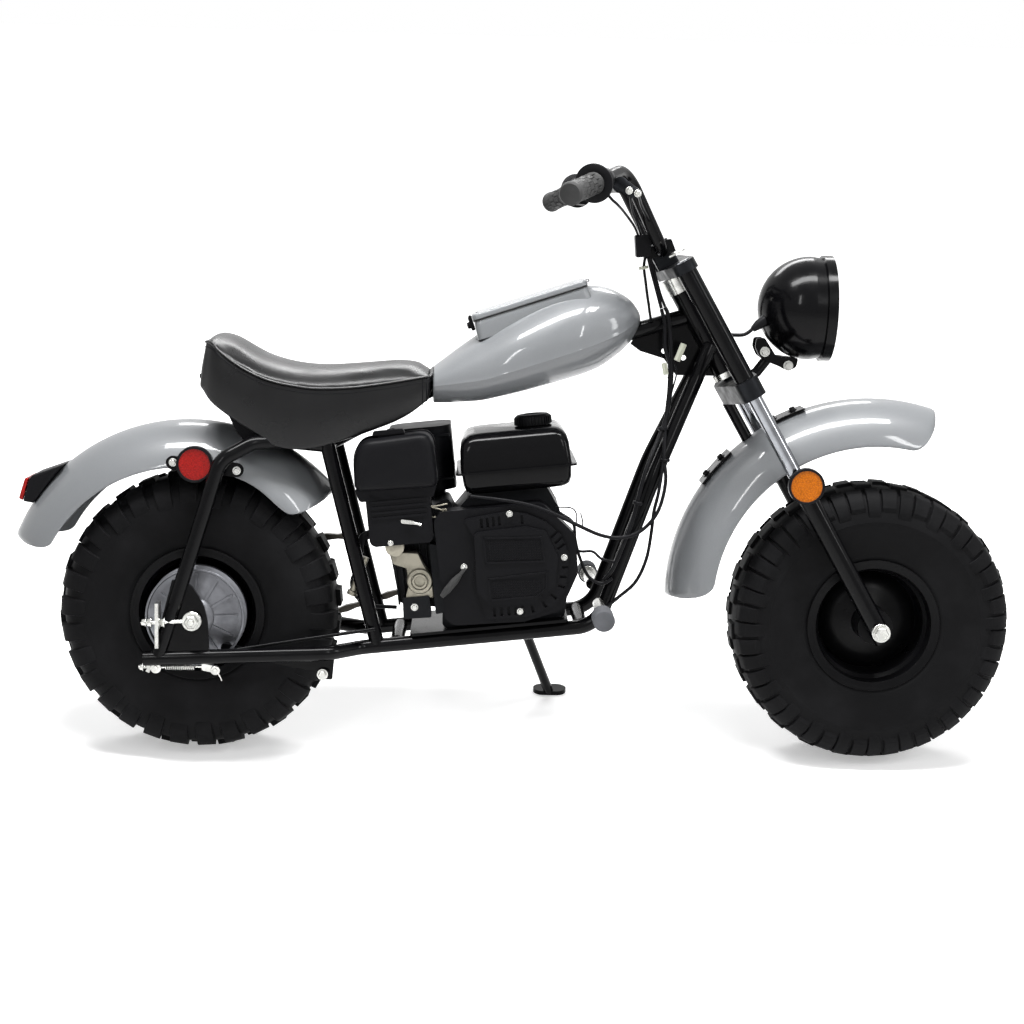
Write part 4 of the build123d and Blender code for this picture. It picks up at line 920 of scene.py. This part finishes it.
latch = Shape()
latch.add(
    plate(rounded([(-8, -18), (-1.8, -18), (-1.8, 7), (-6, 9), (-9, 4)], 2), -11, 11, on_lid),
    revolve([(0, 0.01), (0, 6), (5, 5.4), (6, 0.01)], on_lid(-8, 0, -8), LID_WAY * -1, 20),
)
make("lid_latch", latch, "frame", [black_plastic], bevel=0.5)
gasket = Shape().add(tube([on_lid(a, b, -1.6) for a, b in lid_outline(-1.4, 12)], 1.3, 8, closed=True))
make("lid_gasket", gasket, "frame", [grip_rubber])


def reflector_ring(x, y, z, depth):
    """The black ring round a reflector, turned outwards."""
    section = [(-depth, 27), (-depth, 30.5), (1.5, 30.5), (2.2, 28.8), (1.2, 26.2), (-1, 26.2)]
    return revolve(section, (x, y, z), (0, math.copysign(1, y), 0), 48, closed=True)


# Reflector rings, with the straps' bolts
rear_rings, front_rings = Shape(), Shape()
amber_x, _, amber_z = on_fork(5, 0, 283)
for side in (-1, 1):
    rear_rings.add(reflector_ring(1, side * 116.5, 502, 12))
    front_rings.add(reflector_ring(amber_x, side * 144, amber_z, 11))
    for x, z in ((-36, 504), (70, 492)):
        rear_rings.add(hexagon((x, side * 106.2, z), (0, side, 0), 9, 4), slot=1)
make("rear_reflector_rings", rear_rings, "frame", [black_plastic, zinc], bevel=0.3)
make("front_reflector_rings", front_rings, "steering", [black_plastic], bevel=0.3)

# Grips: ribbed rubber with a flange, over the bar's ends, and the housings beside them
GRIP_LENGTH = 118.0
BLOCK_FIRST, BLOCK_PITCH, BLOCK_HALF, BLOCK_TURN = 21.2, 19.4, 8.2, 14.5
SQUARE = ((-1, -1), (1, -1), (1, 1), (-1, 1))
bar_end = Vector(on_fork(-122, -368, 896))
bar_shoulder = Vector(on_fork(-9, -105, 886))
grip_way = (bar_end - bar_shoulder).normalized()
grips, housings = Shape(), Shape()
for side in (1, -1):
    way = Vector((grip_way.x, grip_way.y * side, grip_way.z))
    end = Vector((bar_end.x, bar_end.y * side, bar_end.z))
    root = end - way * GRIP_LENGTH
    flange = [(-2, 11.3), (-2, 29), (-0.5, 31), (3, 31), (4.5, 29), (5, 19), (5, 11.3)]
    housings.add(revolve(flange, root, way, 48, closed=True))
    profile = [(5, 11.3), (5, 18), (8, 17), (10, 15.2)]
    turn_a, turn_b = basis(way)
    for k in range(5):
        for j in range(10):
            block = []
            for up, inset in ((14.8, 0), (16.8, 0), (17.6, 0.8)):
                row = []
                for u, v in SQUARE:
                    along = BLOCK_FIRST + k * BLOCK_PITCH + u * (BLOCK_HALF - inset)
                    turn = BLOCK_TURN + 36 * (j + 0.5 * (k % 2)) + v * (BLOCK_TURN - 2 * inset)
                    a = math.radians(turn)
                    row.append(root + way * along + (turn_a * math.cos(a) + turn_b * math.sin(a)) * up)
                block.append(row)
            grips.add(loft(block))
    profile += [(110, 17.6), (112, 18.6), (117, 18.6), (120.5, 16), (121, 0.01)]
    grips.add(revolve(profile, root, way, 40))
    shell = [
        (-32, 11.3), (-32, 18), (-30, 21), (-22, 22.5), (-20, 20), (-18, 20), (-16, 23), (-4, 23),
        (-2.6, 21), (-2.6, 11.3),
    ]
    housings.add(revolve(shell, root, way, 40, closed=True))
    under = way.cross(Vector((1, 0, 0))).normalized()
    down = under if under.z < 0 else -under
    box_at = root - way * 17 + down * 16
    ahead_way = way.cross(down).normalized()
    box = []
    for depth, grow in ((-4, 0), (9, 0), (13, -2.5)):
        long, wide = way * (9 + grow), ahead_way * (12 + grow)
        box.append([box_at + down * depth + long * a + wide * b for a, b in SQUARE])
    housings.add(loft(box))
    housings.add(hexagon(root - way * 24 - down * 18, down * -1, 6, 3), slot=1)
    perch = end - way * (GRIP_LENGTH + 46)
    clamp = [(-11, 11.6), (-11, 16), (-9, 17.5), (9, 17.5), (11, 16), (11, 11.6)]
    housings.add(revolve(clamp, perch, way, 28, closed=True), slot=3)
    if side == -1:
        housings.add(tube([perch, (690, -206, 975), (716, -204, 962)], [14, 13, 9], 20), slot=3)
        for bolt in ((704, -214, 966), (718, -211, 962)):
            housings.add(hexagon(bolt, (0.2, -1, 0), 8, 4), slot=1)
    if side == 1:
        button = [(0, 0.01), (0, 6.5), (5, 6), (6, 4.5), (6, 0.01)]
        housings.add(revolve(button, root - way * 12 - down * 18, down * -1, 24), slot=2)
make("grips_ribbed", grips, "steering", [grip_rubber], ("grips",))
make(
    "control_housing_shells", housings, "steering", [black_plastic, zinc, switch_red, dark_cast],
    ("control_housings",), bevel=0.4,
)


def capsule(start, end, radius, steps=8):
    """The outline of a strap with round ends between two points."""
    way = (Vector(end) - Vector(start)).normalized()
    turn = math.atan2(way.y, way.x)
    points = []
    for at, first in ((end, turn - math.pi / 2), (start, turn + math.pi / 2)):
        for k in range(steps + 1):
            a = first + math.pi * k / steps
            points.append((at[0] + radius * math.cos(a), at[1] + radius * math.sin(a)))
    return points


def ring(centre, way, inner, outer, thick, steps=32):
    """A washer, an eye or a round rim."""
    e = min(0.8, thick * 0.25)
    section = [
        (0, inner), (0, outer - e), (e, outer), (thick - e, outer), (thick, outer - e), (thick, inner)
    ]
    return revolve(section, centre, way, steps, closed=True)


def shrink(outline, by):
    """An outline drawn in towards its middle."""
    middle = sum((Vector(p) for p in outline), Vector((0, 0))) / len(outline)
    return [tuple(Vector(p) + (middle - Vector(p)).normalized() * by) for p in outline]


def pillow(outline, levels, at):
    """A moulding with soft edges: an outline at each depth, drawn in by the given amounts."""
    return loft([[at(x, depth, z) for x, z in shrink(outline, by)] for depth, by in levels])


# Rear hub: the curved axle plate, chain adjusters, brake rod with clevises, and return spring
hub = Shape()
plate_outline = [
    (-34, 309), (-12, 307), (0, 298), (11, 282), (20, 262), (25, 240), (27, 210), (28, 184),
    (-58, 184), (-62, 200),
]
PLATE_OUT, PLATE_IN, ADJUSTER_Y = -133.6, -126.4, 139
hub.add(plate(plate_outline, PLATE_OUT, PLATE_IN))
for side in (-1, 1):
    out = Vector((0, side, 0))
    hub.add(
        plate([(-60, 196), (-54, 196), (-54, 272), (-60, 272)], side * 122, side * 152),
        ring((0, side * 134, WHEEL_R), out, 7, 16, 9),
        tube([(-14, side * ADJUSTER_Y, 240.5), (-84, side * ADJUSTER_Y, 236)], 3.6),
        slot=1,
    )
    for x, size in ((-45, 12), (-53, 12), (-67, 12), (-76, 10)):
        hub.add(hexagon((x, side * ADJUSTER_Y, 238), (-1, 0, 0), size, 6), slot=1)
    hub.add(
        ring((0, side * 143, WHEEL_R), out, 6, 13.5, 2.2),
        hexagon((0, side * 145, WHEEL_R), out, 20, 8),
        revolve([(0, 0.01), (0, 5.6), (5, 5.6), (6, 4.8), (6, 0.01)], (0, side * 153, WHEEL_R), out, 20),
        slot=1,
    )
hub.add(ring((-26, PLATE_OUT, 278), RIGHT, 0.01, 5, 3), slot=1)
make("rear_axle_hardware", hub, "frame", [black_paint, zinc], ("rear_axle",), bevel=0.4)

brake = Shape()
BRAKE_Y = -121.0
# The rod's points, as (x, height, radius)
rod = (
    (-92, 157, 2.6), (-50, 158, 2.6), (-48, 158, 1.2), (2, 159.5, 1.2), (4, 160, 2.6), (22, 160, 2.6),
)
clevis = [(-80, 151), (-74, 148), (-71, 157), (-74, 166), (-80, 163), (-77, 157)]
brake.add(
    tube([(x, BRAKE_Y, z) for x, z, _ in rod], [radius for _, _, radius in rod]),
    hexagon((-84, BRAKE_Y, 157), (-1, 0, 0), 9, 5),
    plate(clevis, BRAKE_Y - 5, BRAKE_Y + 5),
    ring((-62, BRAKE_Y - 5, 158), RIGHT, 3.5, 9, 6),
    revolve([(0, 0.01), (0, 4.5), (3, 4), (3, 0.01)], (-62, BRAKE_Y - 10, 158), RIGHT, 16),
)
coil = []
for k in range(15 * 10):
    a = 2 * math.pi * k / 10
    coil.append((-48 + k * 0.33, BRAKE_Y + 5.2 * math.cos(a), 159 + 5.2 * math.sin(a)))
brake.add(
    tube(coil, 1.1, 6),
    plate(rounded([(14, 154), (36, 150), (40, 156), (36, 162), (14, 166)], 4), BRAKE_Y - 4, BRAKE_Y + 4),
    ring((38, BRAKE_Y - 6, 156), RIGHT, 3, 8, 6),
    revolve([(0, 0.01), (0, 4), (3, 3.4), (3, 0.01)], (38, BRAKE_Y - 11, 156), RIGHT, 16),
    tube([(42, BRAKE_Y - 9, 152), (47, BRAKE_Y - 9, 143), (49, BRAKE_Y - 9, 138)], 1.2, 6),
)
brake.add(tube([(58, -119, 187), (180, -112, 207), (304, -104, 226)], 3.2), slot=1)
brake.add(hexagon((218, -131, 152), RIGHT, 12, 5))
make("brake_linkage", brake, "frame", [zinc, black_paint], bevel=0.25)

# Brake panel: its raised rim and boss over the cast disc
PANEL_Y = -104.5
panel_trim = Shape()
rim_section = [(0, 79), (0.4, 83.6), (2.4, 83.6), (3.2, 82.4), (3.2, 80), (1.6, 79)]
boss_section = [(0, 27), (0, 33), (3.5, 31), (7, 24), (9, 20), (9, 16), (0, 16)]
for section, steps in ((rim_section, 96), (boss_section, 64)):
    panel_trim.add(revolve(section, (0, PANEL_Y, WHEEL_R), RIGHT, steps, closed=True))
make("brake_panel_trim", panel_trim, "frame", [aluminium], bevel=0.4)

# Reflector straps, rounded at both ends, and their bolts
STRAP_ENDS = ((-36, 503), (70, 493))
straps = Shape()
for side in (-1, 1):
    straps.add(plate(capsule(*STRAP_ENDS, 12), side * 103.5, side * 106.5))
    for x, z in STRAP_ENDS:
        straps.add(revolve([(0, 0.01), (0, 7), (9, 7), (9, 0.01)], (x, side * 95, z), (0, side, 0), 20))
make("reflector_straps", straps, "frame", [black_paint], ("mudguard_straps",), bevel=0.5)

# Tail lamp: a wedge housing along the guard, with the lens on its rear face
tail = Shape()
tail_outline = rounded([(-301, 424), (-290, 464), (-286, 469), (-231, 489), (-240, 478), (-283, 421)], 3)
tail.add(pillow(tail_outline, ((-45, 5), (-43, 1.5), (-39, 0), (39, 0), (43, 1.5), (45, 5)), upright))
lens_outline = rounded([(-309, 428), (-298, 464), (-292, 464), (-302, 425)], 2)
tail.add(
    pillow(lens_outline, ((-40, 2), (-38, 0.4), (-34, 0), (34, 0), (38, 0.4), (40, 2)), upright),
    slot=1,
)
make("tail_lamp_wedge", tail, "frame", [black_plastic, red_face], ("tail_lamp", "tail_lamp_lens"), angle=30)

# The seat's dark pan behind its skirt
pan = Shape()
pan.add(plate(rounded([(48, 592), (96, 560), (122, 536), (108, 528), (78, 540), (62, 562)], 5), -78, 78))
make("seat_pan_rear", pan, "frame", [black_plastic], bevel=1.5)

# Storage cover: a domed shell that turns under below its side seam
COVER_FRONT = 747
COVER_TOP = (
    (394, 667), (405, 675), (430, 695), (460, 717), (500, 743), (540, 768), (575, 786), (608, 800),
    (640, 808), (666, 811), (690, 807), (710, 799), (728, 788), (738, 779), (744, 769), (747, 755),
)
COVER_LOW = (
    (394, 606), (420, 606), (476, 611), (536, 626), (601, 645), (651, 661), (681, 674), (705, 693),
    (722, 706), (735, 722), (744, 742), (747, 753),
)
COVER_SEAM = (
    (394, 636), (407, 638), (480, 650), (558, 676), (626, 699), (675, 716), (710, 731), (747, 754),
)
COVER_HALF = (
    (394, 76), (430, 88), (470, 98), (520, 108), (560, 111.5), (600, 110), (650, 99), (685, 82),
    (712, 66), (732, 46), (741, 32), (746, 14), (747, 4),
)


def cover_at(table, x):
    """A smooth reading of a cover table."""
    reach = min(10, COVER_FRONT - x, x - COVER_REAR)
    return sum(along_table(x + d * reach, table)[0] for d in (-1, -0.5, 0, 0.5, 1)) / 5


def cover_ring(x):
    """A cross-section of the cover from the near side's foot over the top to the far side."""
    top, low, seam, half = (cover_at(t, x) for t in (COVER_TOP, COVER_LOW, COVER_SEAM, COVER_HALF))
    points = []
    for k in range(11):
        t = k / 10
        tuck = 0.42 + 0.58 * math.sin(t * math.pi / 2) ** 0.9
        points.append((x, -half * tuck, low + (seam - low) * t**1.2))
    points.append((x, -half - 1.2, seam + 0.8))
    points.append((x, -half - 0.2, seam + 2.6))
    for k in range(1, 32):
        a = math.pi * k / 32
        dome = math.sin(a) ** 0.86
        points.append((x, -half * math.cos(a), seam + 2.6 + (top - seam - 2.6) * dome))
    mirror_side = [(px, -py, pz) for px, py, pz in points[:13]][::-1]
    return points + mirror_side


stations = [394, 396] + [400 + 328 * k / 38 for k in range(39)] + [733, 738, 742, 745, 746.6]
cover = Shape().add(loft([cover_ring(x) for x in stations]))
make("storage_cover_shell", cover, "frame", [silver_paint], ("storage_cover",), rounds=1)

box_levels = ((-34, 1.5), (-22, 0.6), (-10, -0.4), (-3, -1.4), (-0.6, -2.6))
walls = Shape().add(loft([[on_lid(a, b, up) for a, b in lid_outline(grow, 12)] for up, grow in box_levels]))
make("storage_box_walls", walls, "frame", [silver_paint], bevel=0.5)

# Engine tank: two pressings joined by a flange
tank = Shape()
levels = (
    (121, 20, 26), (122, 13, 22), (127, 7, 18), (138, 3.5, 16), (156, 2.5, 14), (157, -7, 12),
    (160.5, -7, 12), (161.5, 1, 14), (172, 1.5, 15), (196, 3, 17), (208, 6, 18), (215, 11, 20),
    (220, 18, 22), (222.5, 28, 24),
)
tank_rings = []
for up, by, corner in levels:
    box = [(-64 + by, -108 + by), (126 - by, -108 + by), (126 - by, 92 - by), (-64 + by, 92 - by)]
    tank_rings.append([on_engine(x, y, up) for x, y in rounded(box, corner, 6)])
tank.add(loft(tank_rings))
make("engine_tank_pressed", tank, "frame", [tank_paint], ("engine_tank",), angle=50)

# Air cleaner: a moulded case with a soft-edged cover, its seam and the clip
cleaner_outline = rounded(
    [(-243, 146), (-240, 205), (-222, 231), (-116, 235), (-104, 222), (-102, 142)], 14, 6,
)
cleaner = Shape()
cleaner.add(
    pillow(
        cleaner_outline, ((-124, 22), (-123, 12), (-120, 5), (-114, 1.2), (-104, 0), (-62, 0)),
        on_engine,
    ),
    pillow(cleaner_outline, ((-60, 2.5), (-24, 4), (-20, 8)), on_engine),
    pillow(cleaner_outline, ((-66, -1.6), (-65, -2.4), (-61, -2.4), (-60, -1.6)), on_engine),
    plate(rounded([(-236, 128), (-112, 126), (-104, 148), (-243, 150)], 5), -112, -30, on_engine),
    plate(rounded([(-196, 232), (-150, 234), (-152, 241), (-194, 240)], 3), -96, -76, on_engine),
    ring(on_engine(-173, -86, 238), ENGINE_UP, 3, 7, 6),
)
make("air_cleaner_moulded", cleaner, "frame", [black_plastic], ("air_cleaner",), bevel=0.4, angle=45)

# Carburettor: a pale casting with the bowl, its bolts, the linkage and the plug's metal boot
carb = Shape()
bowl_at = on_engine(-150, -76, -20)
casting = rounded(
    [
        (-198, 36), (-148, 30), (-140, 10), (-128, -18), (-128, -52), (-178, -50), (-170, -27),
        (-172, 6), (-194, 14),
    ],
    4,
)
carb.add(
    pillow(casting, ((-80, 3), (-78, 0.5), (-70, 0), (-49, 0)), on_engine),
    revolve([(0, 22), (6, 22), (8, 20), (8, 15), (2, 14), (2, 0.01)], bowl_at, RIGHT, 48),
    ring(bowl_at, RIGHT, 9, 13, 9),
    revolve([(0, 17), (14, 16), (16, 13), (16, 0.01)], on_engine(-186, -80, 44), RIGHT, 36),
    tube(engine_run((-239, -60, 27), (-266, -62, -29)), 6.5, 20),
)
boot_way = Vector(on_engine(-27, 0, -56)) - Vector(on_engine(0, 0, 0))
carb.add(ring(on_engine(-266, -62, -29), boot_way, 3, 9, 8))
for a, b in (((-120, 108), (-96, 100)), ((-128, 92), (-98, 88)), ((-112, 82), (-88, 94))):
    carb.add(
        tube(engine_run((a[0], -100, a[1]), (b[0], -102, b[1])), 1.6, 8),
        ring(on_engine(b[0], -104, b[1]), RIGHT, 1, 4.5, 3, 16),
    )
carb.add(
    tube(
        engine_curve((-176, -100, 108), (-150, -106, 116), (-118, -108, 110), (-90, -110, 112)),
        1.5, 8,
    )
)
carb.add(
    plate(rounded([(-182, -46), (-136, -46), (-136, -84), (-184, -82)], 4), -84, -60, on_engine),
    plate(rounded([(-128, 44), (-112, 40), (-110, -76), (-128, -78)], 4), -90, -60, on_engine),
    slot=1,
)
make("carburettor_castings", carb, "frame", [pale_cast, engine_cast], bevel=0.4)

# The starter's handle on its rope, on the cover's rear side
starter = Shape()
starter.add(
    tube(engine_run((-70, -121, 2), (-84, -124, -12), (-112, -124, -40)), [3, 3.4, 3], 12),
    tube(
        engine_run((-80, -124, -8), (-90, -125, -18), (-104, -125, -32), (-114, -124, -42)),
        [4, 6.5, 6.5, 4], 16,
    ),
)
make("starter_handle", starter, "frame", [grip_rubber], bevel=0.2)

# Foot pegs: bright necks, and ringed rubbers at their ends
PEG_X, PEG_Z, PEG_ROOT = 682, 275, 198
pegs = Shape()
for side in (-1, 1):
    out = Vector((0, side, 0))
    pegs.add(
        revolve([(0, 10), (104, 10), (104, 0.01)], (PEG_X, side * 96, PEG_Z), out, 32),
        ring((PEG_X, side * PEG_ROOT, PEG_Z), out, 9, 15, 3),
        slot=1,
    )
    profile = [(0, 0.01), (0, 16), (2, 18)]
    for k in range(5):
        profile += [(6 + k * 8, 18), (7.2 + k * 8, 16.6), (9 + k * 8, 16.6), (10.2 + k * 8, 18)]
    profile += [(46, 18), (49, 16.2), (50, 13), (50, 0.01)]
    pegs.add(revolve(profile, (PEG_X, side * (PEG_ROOT + 2), PEG_Z), out, 48))
make("foot_pegs_ribbed", pegs, "frame", [peg_rubber, zinc], ("foot_pegs",), bevel=0.2)

# Cables and wires: each one's radius, then the points of its route
BAR_CABLES = (
    (
        2.2, (664, -256, 962), (674, -252, 951), (684, -244, 943), (699, -190, 932), (722, -110, 911),
        (735, -58, 893),
    ),
    (2.0, (708, -206, 962), (709, -190, 950), (716, -150, 933), (730, -90, 912), (739, -55, 895)),
    (
        2.4, (714, -204, 960), (722, -186, 957), (731, -140, 943), (748, -90, 920), (757, -55, 899),
        (752, -50, 877), (746, -46, 848), (750, -42, 819), (755, -34, 792), (758, -29, 779),
    ),
    (3.0, (739, -55, 897), (748, -50, 876), (758, -46, 841), (769, -44, 805), (778, -43, 775)),
    (2.6, (745, -52, 895), (762, -46, 842), (774, -45, 802), (784, -43, 778)),
)
FRAME_CABLES = (
    (
        3.2, (778, -43, 774), (785, -42, 747), (786, -44, 710), (794, -50, 682), (794, -58, 638),
        (790, -66, 595), (786, -92, 531), (789, -104, 490), (781, -112, 449), (766, -117, 422),
        (742, -120, 401), (712, -122, 393), (679, -124, 398), (640, -128, 415), (603, -128, 432),
        (561, -124, 446), (513, -118, 453), (461, -110, 457),
    ),
    (
        3.4, (784, -43, 777), (790, -42, 762), (797, -45, 705), (798, -54, 655), (793, -64, 605),
        (780, -78, 566), (757, -108, 513), (745, -116, 471), (734, -118, 423), (722, -118, 387),
        (704, -114, 340), (690, -104, 318),
    ),
    (
        3.0, (786, -94, 531), (778, -106, 473), (770, -110, 436), (767, -112, 403), (760, -110, 356),
        (743, -108, 316), (717, -104, 290), (694, -94, 268),
    ),
    (2.4, (758, -29, 778), (760, -24, 768), (764, -14, 752)),
    (
        2.8, (610, -100, 432), (635, -100, 414), (640, -100, 384), (649, -100, 353), (664, -104, 323),
        (686, -108, 312), (703, -114, 322),
    ),
    (2.4, (634, -96, 367), (652, -98, 365), (670, -98, 365), (685, -104, 354), (706, -114, 350)),
    (1.2, (606, -92, 439), (632, -92, 438), (641, -94, 428), (641, -96, 413)),
    (1.2, (648, -94, 430), (652, -96, 414), (650, -98, 405)),
    (1.4, (800, -52, 690), (806, -56, 668), (800, -60, 640), (792, -64, 610)),
    (1.4, (792, -54, 660), (797, -58, 640), (790, -64, 600)),
)
for name, body, table, replaced in (
    ("bar_cable_bundle", "steering", BAR_CABLES, ("bar_cable",)),
    ("frame_cable_loom", "frame", FRAME_CABLES, ("throttle_cable",)),
):
    loom = Shape()
    for radius, *route in table:
        loom.add(tube(smooth_path(route, 6), radius, 10))
    if body == "steering":
        loom.add(
            plate(rounded([(728, 897), (754, 897), (756, 862), (731, 859)], 4), -64, -42),
            tube([(750, -42, 870), (775, -30, 880)], 4),
        )
        loom.add(ring((745, -46, 845), (0.2, 0, -1), 4, 8, 5), slot=1)
    else:
        for start, end, radius in (
            ((817, -52, 716), (806, -56, 688), 6), ((785, -52, 683), (788, -56, 664), 5),
        ):
            loom.add(tube([start, end], radius, 6), slot=1)
        for at, way in (
            ((788, -94, 520), (0, 0, 1)), ((783, -74, 570), (0.2, 0.3, 1)),
            ((741, -120, 450), (0.2, 0, 1)),
        ):
            loom.add(ring(at, way, 4, 8, 5, 16))
    make(name, loom, body, [wire_black, connector_white], replaced)

# Headlamp: its bolted bracket plates, and the lead with its boot
lamp_hold = Shape()
bracket = rounded(
    [
        (945, 727), (959, 728), (979, 698), (1018, 694), (1015, 679), (1003, 672), (984, 680),
        (965, 687), (950, 697), (943, 712),
    ],
    4,
)
for side in (-1, 1):
    lamp_hold.add(plate(bracket, side * 16, side * 20))
    for x, z in ((960, 704), (1001, 681)):
        lamp_hold.add(hexagon((x, side * 20, z), (0, side, 0), 11, 5), slot=1)
lamp_hold.add(
    tube([(968, 0, 692), (950, 0, 668), (934, 0, 656)], 9, 20),
    tube([(1001, -16, 681), (1001, 16, 681)], 5),
)
lamp_hold.add(
    tube(smooth_path([(894, -30, 733), (906, -30, 732), (924, -30, 734), (942, -28, 748)]), 3.2),
    tube([(936, -28, 742), (946, -27, 750), (958, -25, 758)], [5, 8.5, 10], 20),
    slot=2,
)
make(
    "headlamp_hardware", lamp_hold, "steering", [black_paint, zinc, wire_black],
    ("headlamp_bracket",), bevel=0.4,
)

# Fork and bar: black riser blocks, top nut, front axle washers and nuts, strap bolts
front = Shape()
for side in (-1, 1):
    riser = rounded([(752, 856), (762, 886), (790, 892), (800, 868)], 3)
    front.add(plate(riser, side * 27, side * 53))
    front.add(
        ring((WHEELBASE, side * 137, WHEEL_R), (0, side, 0), 7, 16, 2.4),
        hexagon((WHEELBASE, side * 139, WHEEL_R), (0, side, 0), 20, 8),
        slot=1,
    )
    cap_section = [(0, 0.01), (0, 15), (3, 14), (5, 9), (5, 0.01)]
    front.add(revolve(cap_section, on_fork(0, side * 110, 724), FORK_UP, 32), slot=1)
make("fork_and_bar_hardware", front, "steering", [black_paint, zinc], bevel=0.5)


def over_guard(angle, radius, side):
    """A point over the front mudguard at an angle in degrees."""
    a = math.radians(angle)
    return (FRONT_GUARD[0] + radius * math.cos(a), side, FRONT_GUARD[1] + radius * math.sin(a))


guard_straps = Shape()
strap_section = ((351, -26), (351, 26), (354, 26), (354, -26))
for first, last in ((146, 134), (122, 110)):
    angles = [first + (last - first) * k / 8 for k in range(9)]
    guard_straps.add(loft([[over_guard(a, r, y) for r, y in strap_section] for a in angles]))
    for a in (first - 3, last + 3):
        way = (math.cos(math.radians(a)), 0, math.sin(math.radians(a)))
        guard_straps.add(hexagon(over_guard(a, 354, 0), way, 10, 5))
make("front_guard_straps", guard_straps, "steering", [black_paint], bevel=0.4)


# Camera, fitted to the photograph: place and turn in the upright frame, and the focal length in
# pixels of the 1024 pixel picture
CAMERA_AT = (459.0, -3328.3, 889.6)
CAMERA_TURN = Vector((0.14153, -0.02095, 0.02095))
FOCAL_PIXELS = 1936.7
aim = Matrix.Rotation(CAMERA_TURN.length, 3, CAMERA_TURN.normalized()) @ Matrix(
    ((1, 0, 0), (0, 0, -1), (0, 1, 0))
)
right, down, ahead = (lean @ Vector(row) for row in aim)
camera = bpy.data.objects.new("camera", bpy.data.cameras.new("camera"))
bpy.context.scene.collection.objects.link(camera)
camera.matrix_world = Matrix.Translation(place([CAMERA_AT])[0]) @ Matrix(
    (right, -down, -ahead)
).transposed().to_4x4()
camera.data.sensor_width = 36.0
camera.data.lens = FOCAL_PIXELS / 1024 * 36
camera.data.clip_end = 60
bpy.context.scene.camera = camera

# Floor: plain and pale. What the camera, gloss and glass see of the floor and the room is white.
def seen_directly(tree):
    """One for rays from the camera, mirrors and glass, and zero for light on the object."""
    path = node(tree, "LightPath")
    gloss = node(
        tree, "Math", {0: path.outputs["Is Camera Ray"], 1: path.outputs["Is Glossy Ray"]},
        operation="ADD",
    )
    return node(
        tree, "Math", {0: gloss.outputs[0], 1: path.outputs["Is Transmission Ray"]},
        operation="ADD", use_clamp=True,
    ).outputs[0]


floor_paint = surface("pale_floor", "#f2f2f2", 0.7)
floor_tree = floor_paint.node_tree
floor_shader = floor_tree.nodes["Principled BSDF"]
floor_shader.inputs["Emission Color"].default_value = (1, 1, 1, 1)
place_on = node(floor_tree, "TexCoord")
away = node(floor_tree, "VectorMath", {0: place_on.outputs["Object"]}, operation="LENGTH")
fade = node(
    floor_tree, "MapRange",
    {"Value": away.outputs["Value"], "From Min": 1.2, "From Max": 3.2, "To Min": 0.4, "To Max": 1.0},
)
lift = node(
    floor_tree, "Math", {0: seen_directly(floor_tree), 1: fade.outputs["Result"]},
    operation="MULTIPLY",
)
floor_tree.links.new(lift.outputs[0], floor_shader.inputs["Emission Strength"])
floor_mesh = bpy.data.meshes.new("floor")
floor_mesh.from_pydata([(-30, -30, 0), (30, -30, 0), (30, 30, 0), (-30, 30, 0)], [], [(0, 1, 2, 3)])
floor_mesh.materials.append(floor_paint)
floor = bpy.data.objects.new("floor", floor_mesh)
bpy.context.scene.collection.objects.link(floor)

# Light: an even room and soft boxes above, on the near side and behind
ROOM_LIGHT = 0.21
world = bpy.data.worlds.new("studio")
world.use_nodes = True
sky = world.node_tree.nodes["Background"]
sky.inputs["Color"].default_value = (1, 1, 1, 1)
level = node(
    world.node_tree, "MapRange",
    {"Value": seen_directly(world.node_tree), "To Min": ROOM_LIGHT, "To Max": 1.0},
)
world.node_tree.links.new(level.outputs["Result"], sky.inputs["Strength"])
bpy.context.scene.world = world


def softbox(name, at, target, width, height, power):
    """A rectangular light that faces a point."""
    data = bpy.data.lights.new(name, "AREA")
    data.shape = "RECTANGLE"
    data.size, data.size_y, data.energy = width, height, power
    lamp = bpy.data.objects.new(name, data)
    bpy.context.scene.collection.objects.link(lamp)
    lamp.location = at
    lamp.rotation_euler = (Vector(target) - Vector(at)).to_track_quat("-Z", "Y").to_euler()


softbox("top_box", (0.0, -0.5, 3.0), (0, 0, 0.4), 2.6, 0.5, 205)
softbox("near_left_strip", (-1.5, -3.2, 2.6), (-0.3, 0, 0.5), 0.22, 1.3, 26)
softbox("near_right_strip", (1.7, -3.0, 2.6), (0.4, 0, 0.5), 0.22, 1.3, 26)
softbox("front_box", (3.0, -1.4, 1.9), (0.4, 0, 0.6), 0.4, 1.3, 26)
softbox("back_box", (0.0, 2.6, 2.4), (0, 0, 0.5), 2.4, 0.6, 60)

bpy.context.scene.view_settings.view_transform = "Standard"
bpy.context.scene.view_settings.look = "None"

bpy.context.view_layer.update()
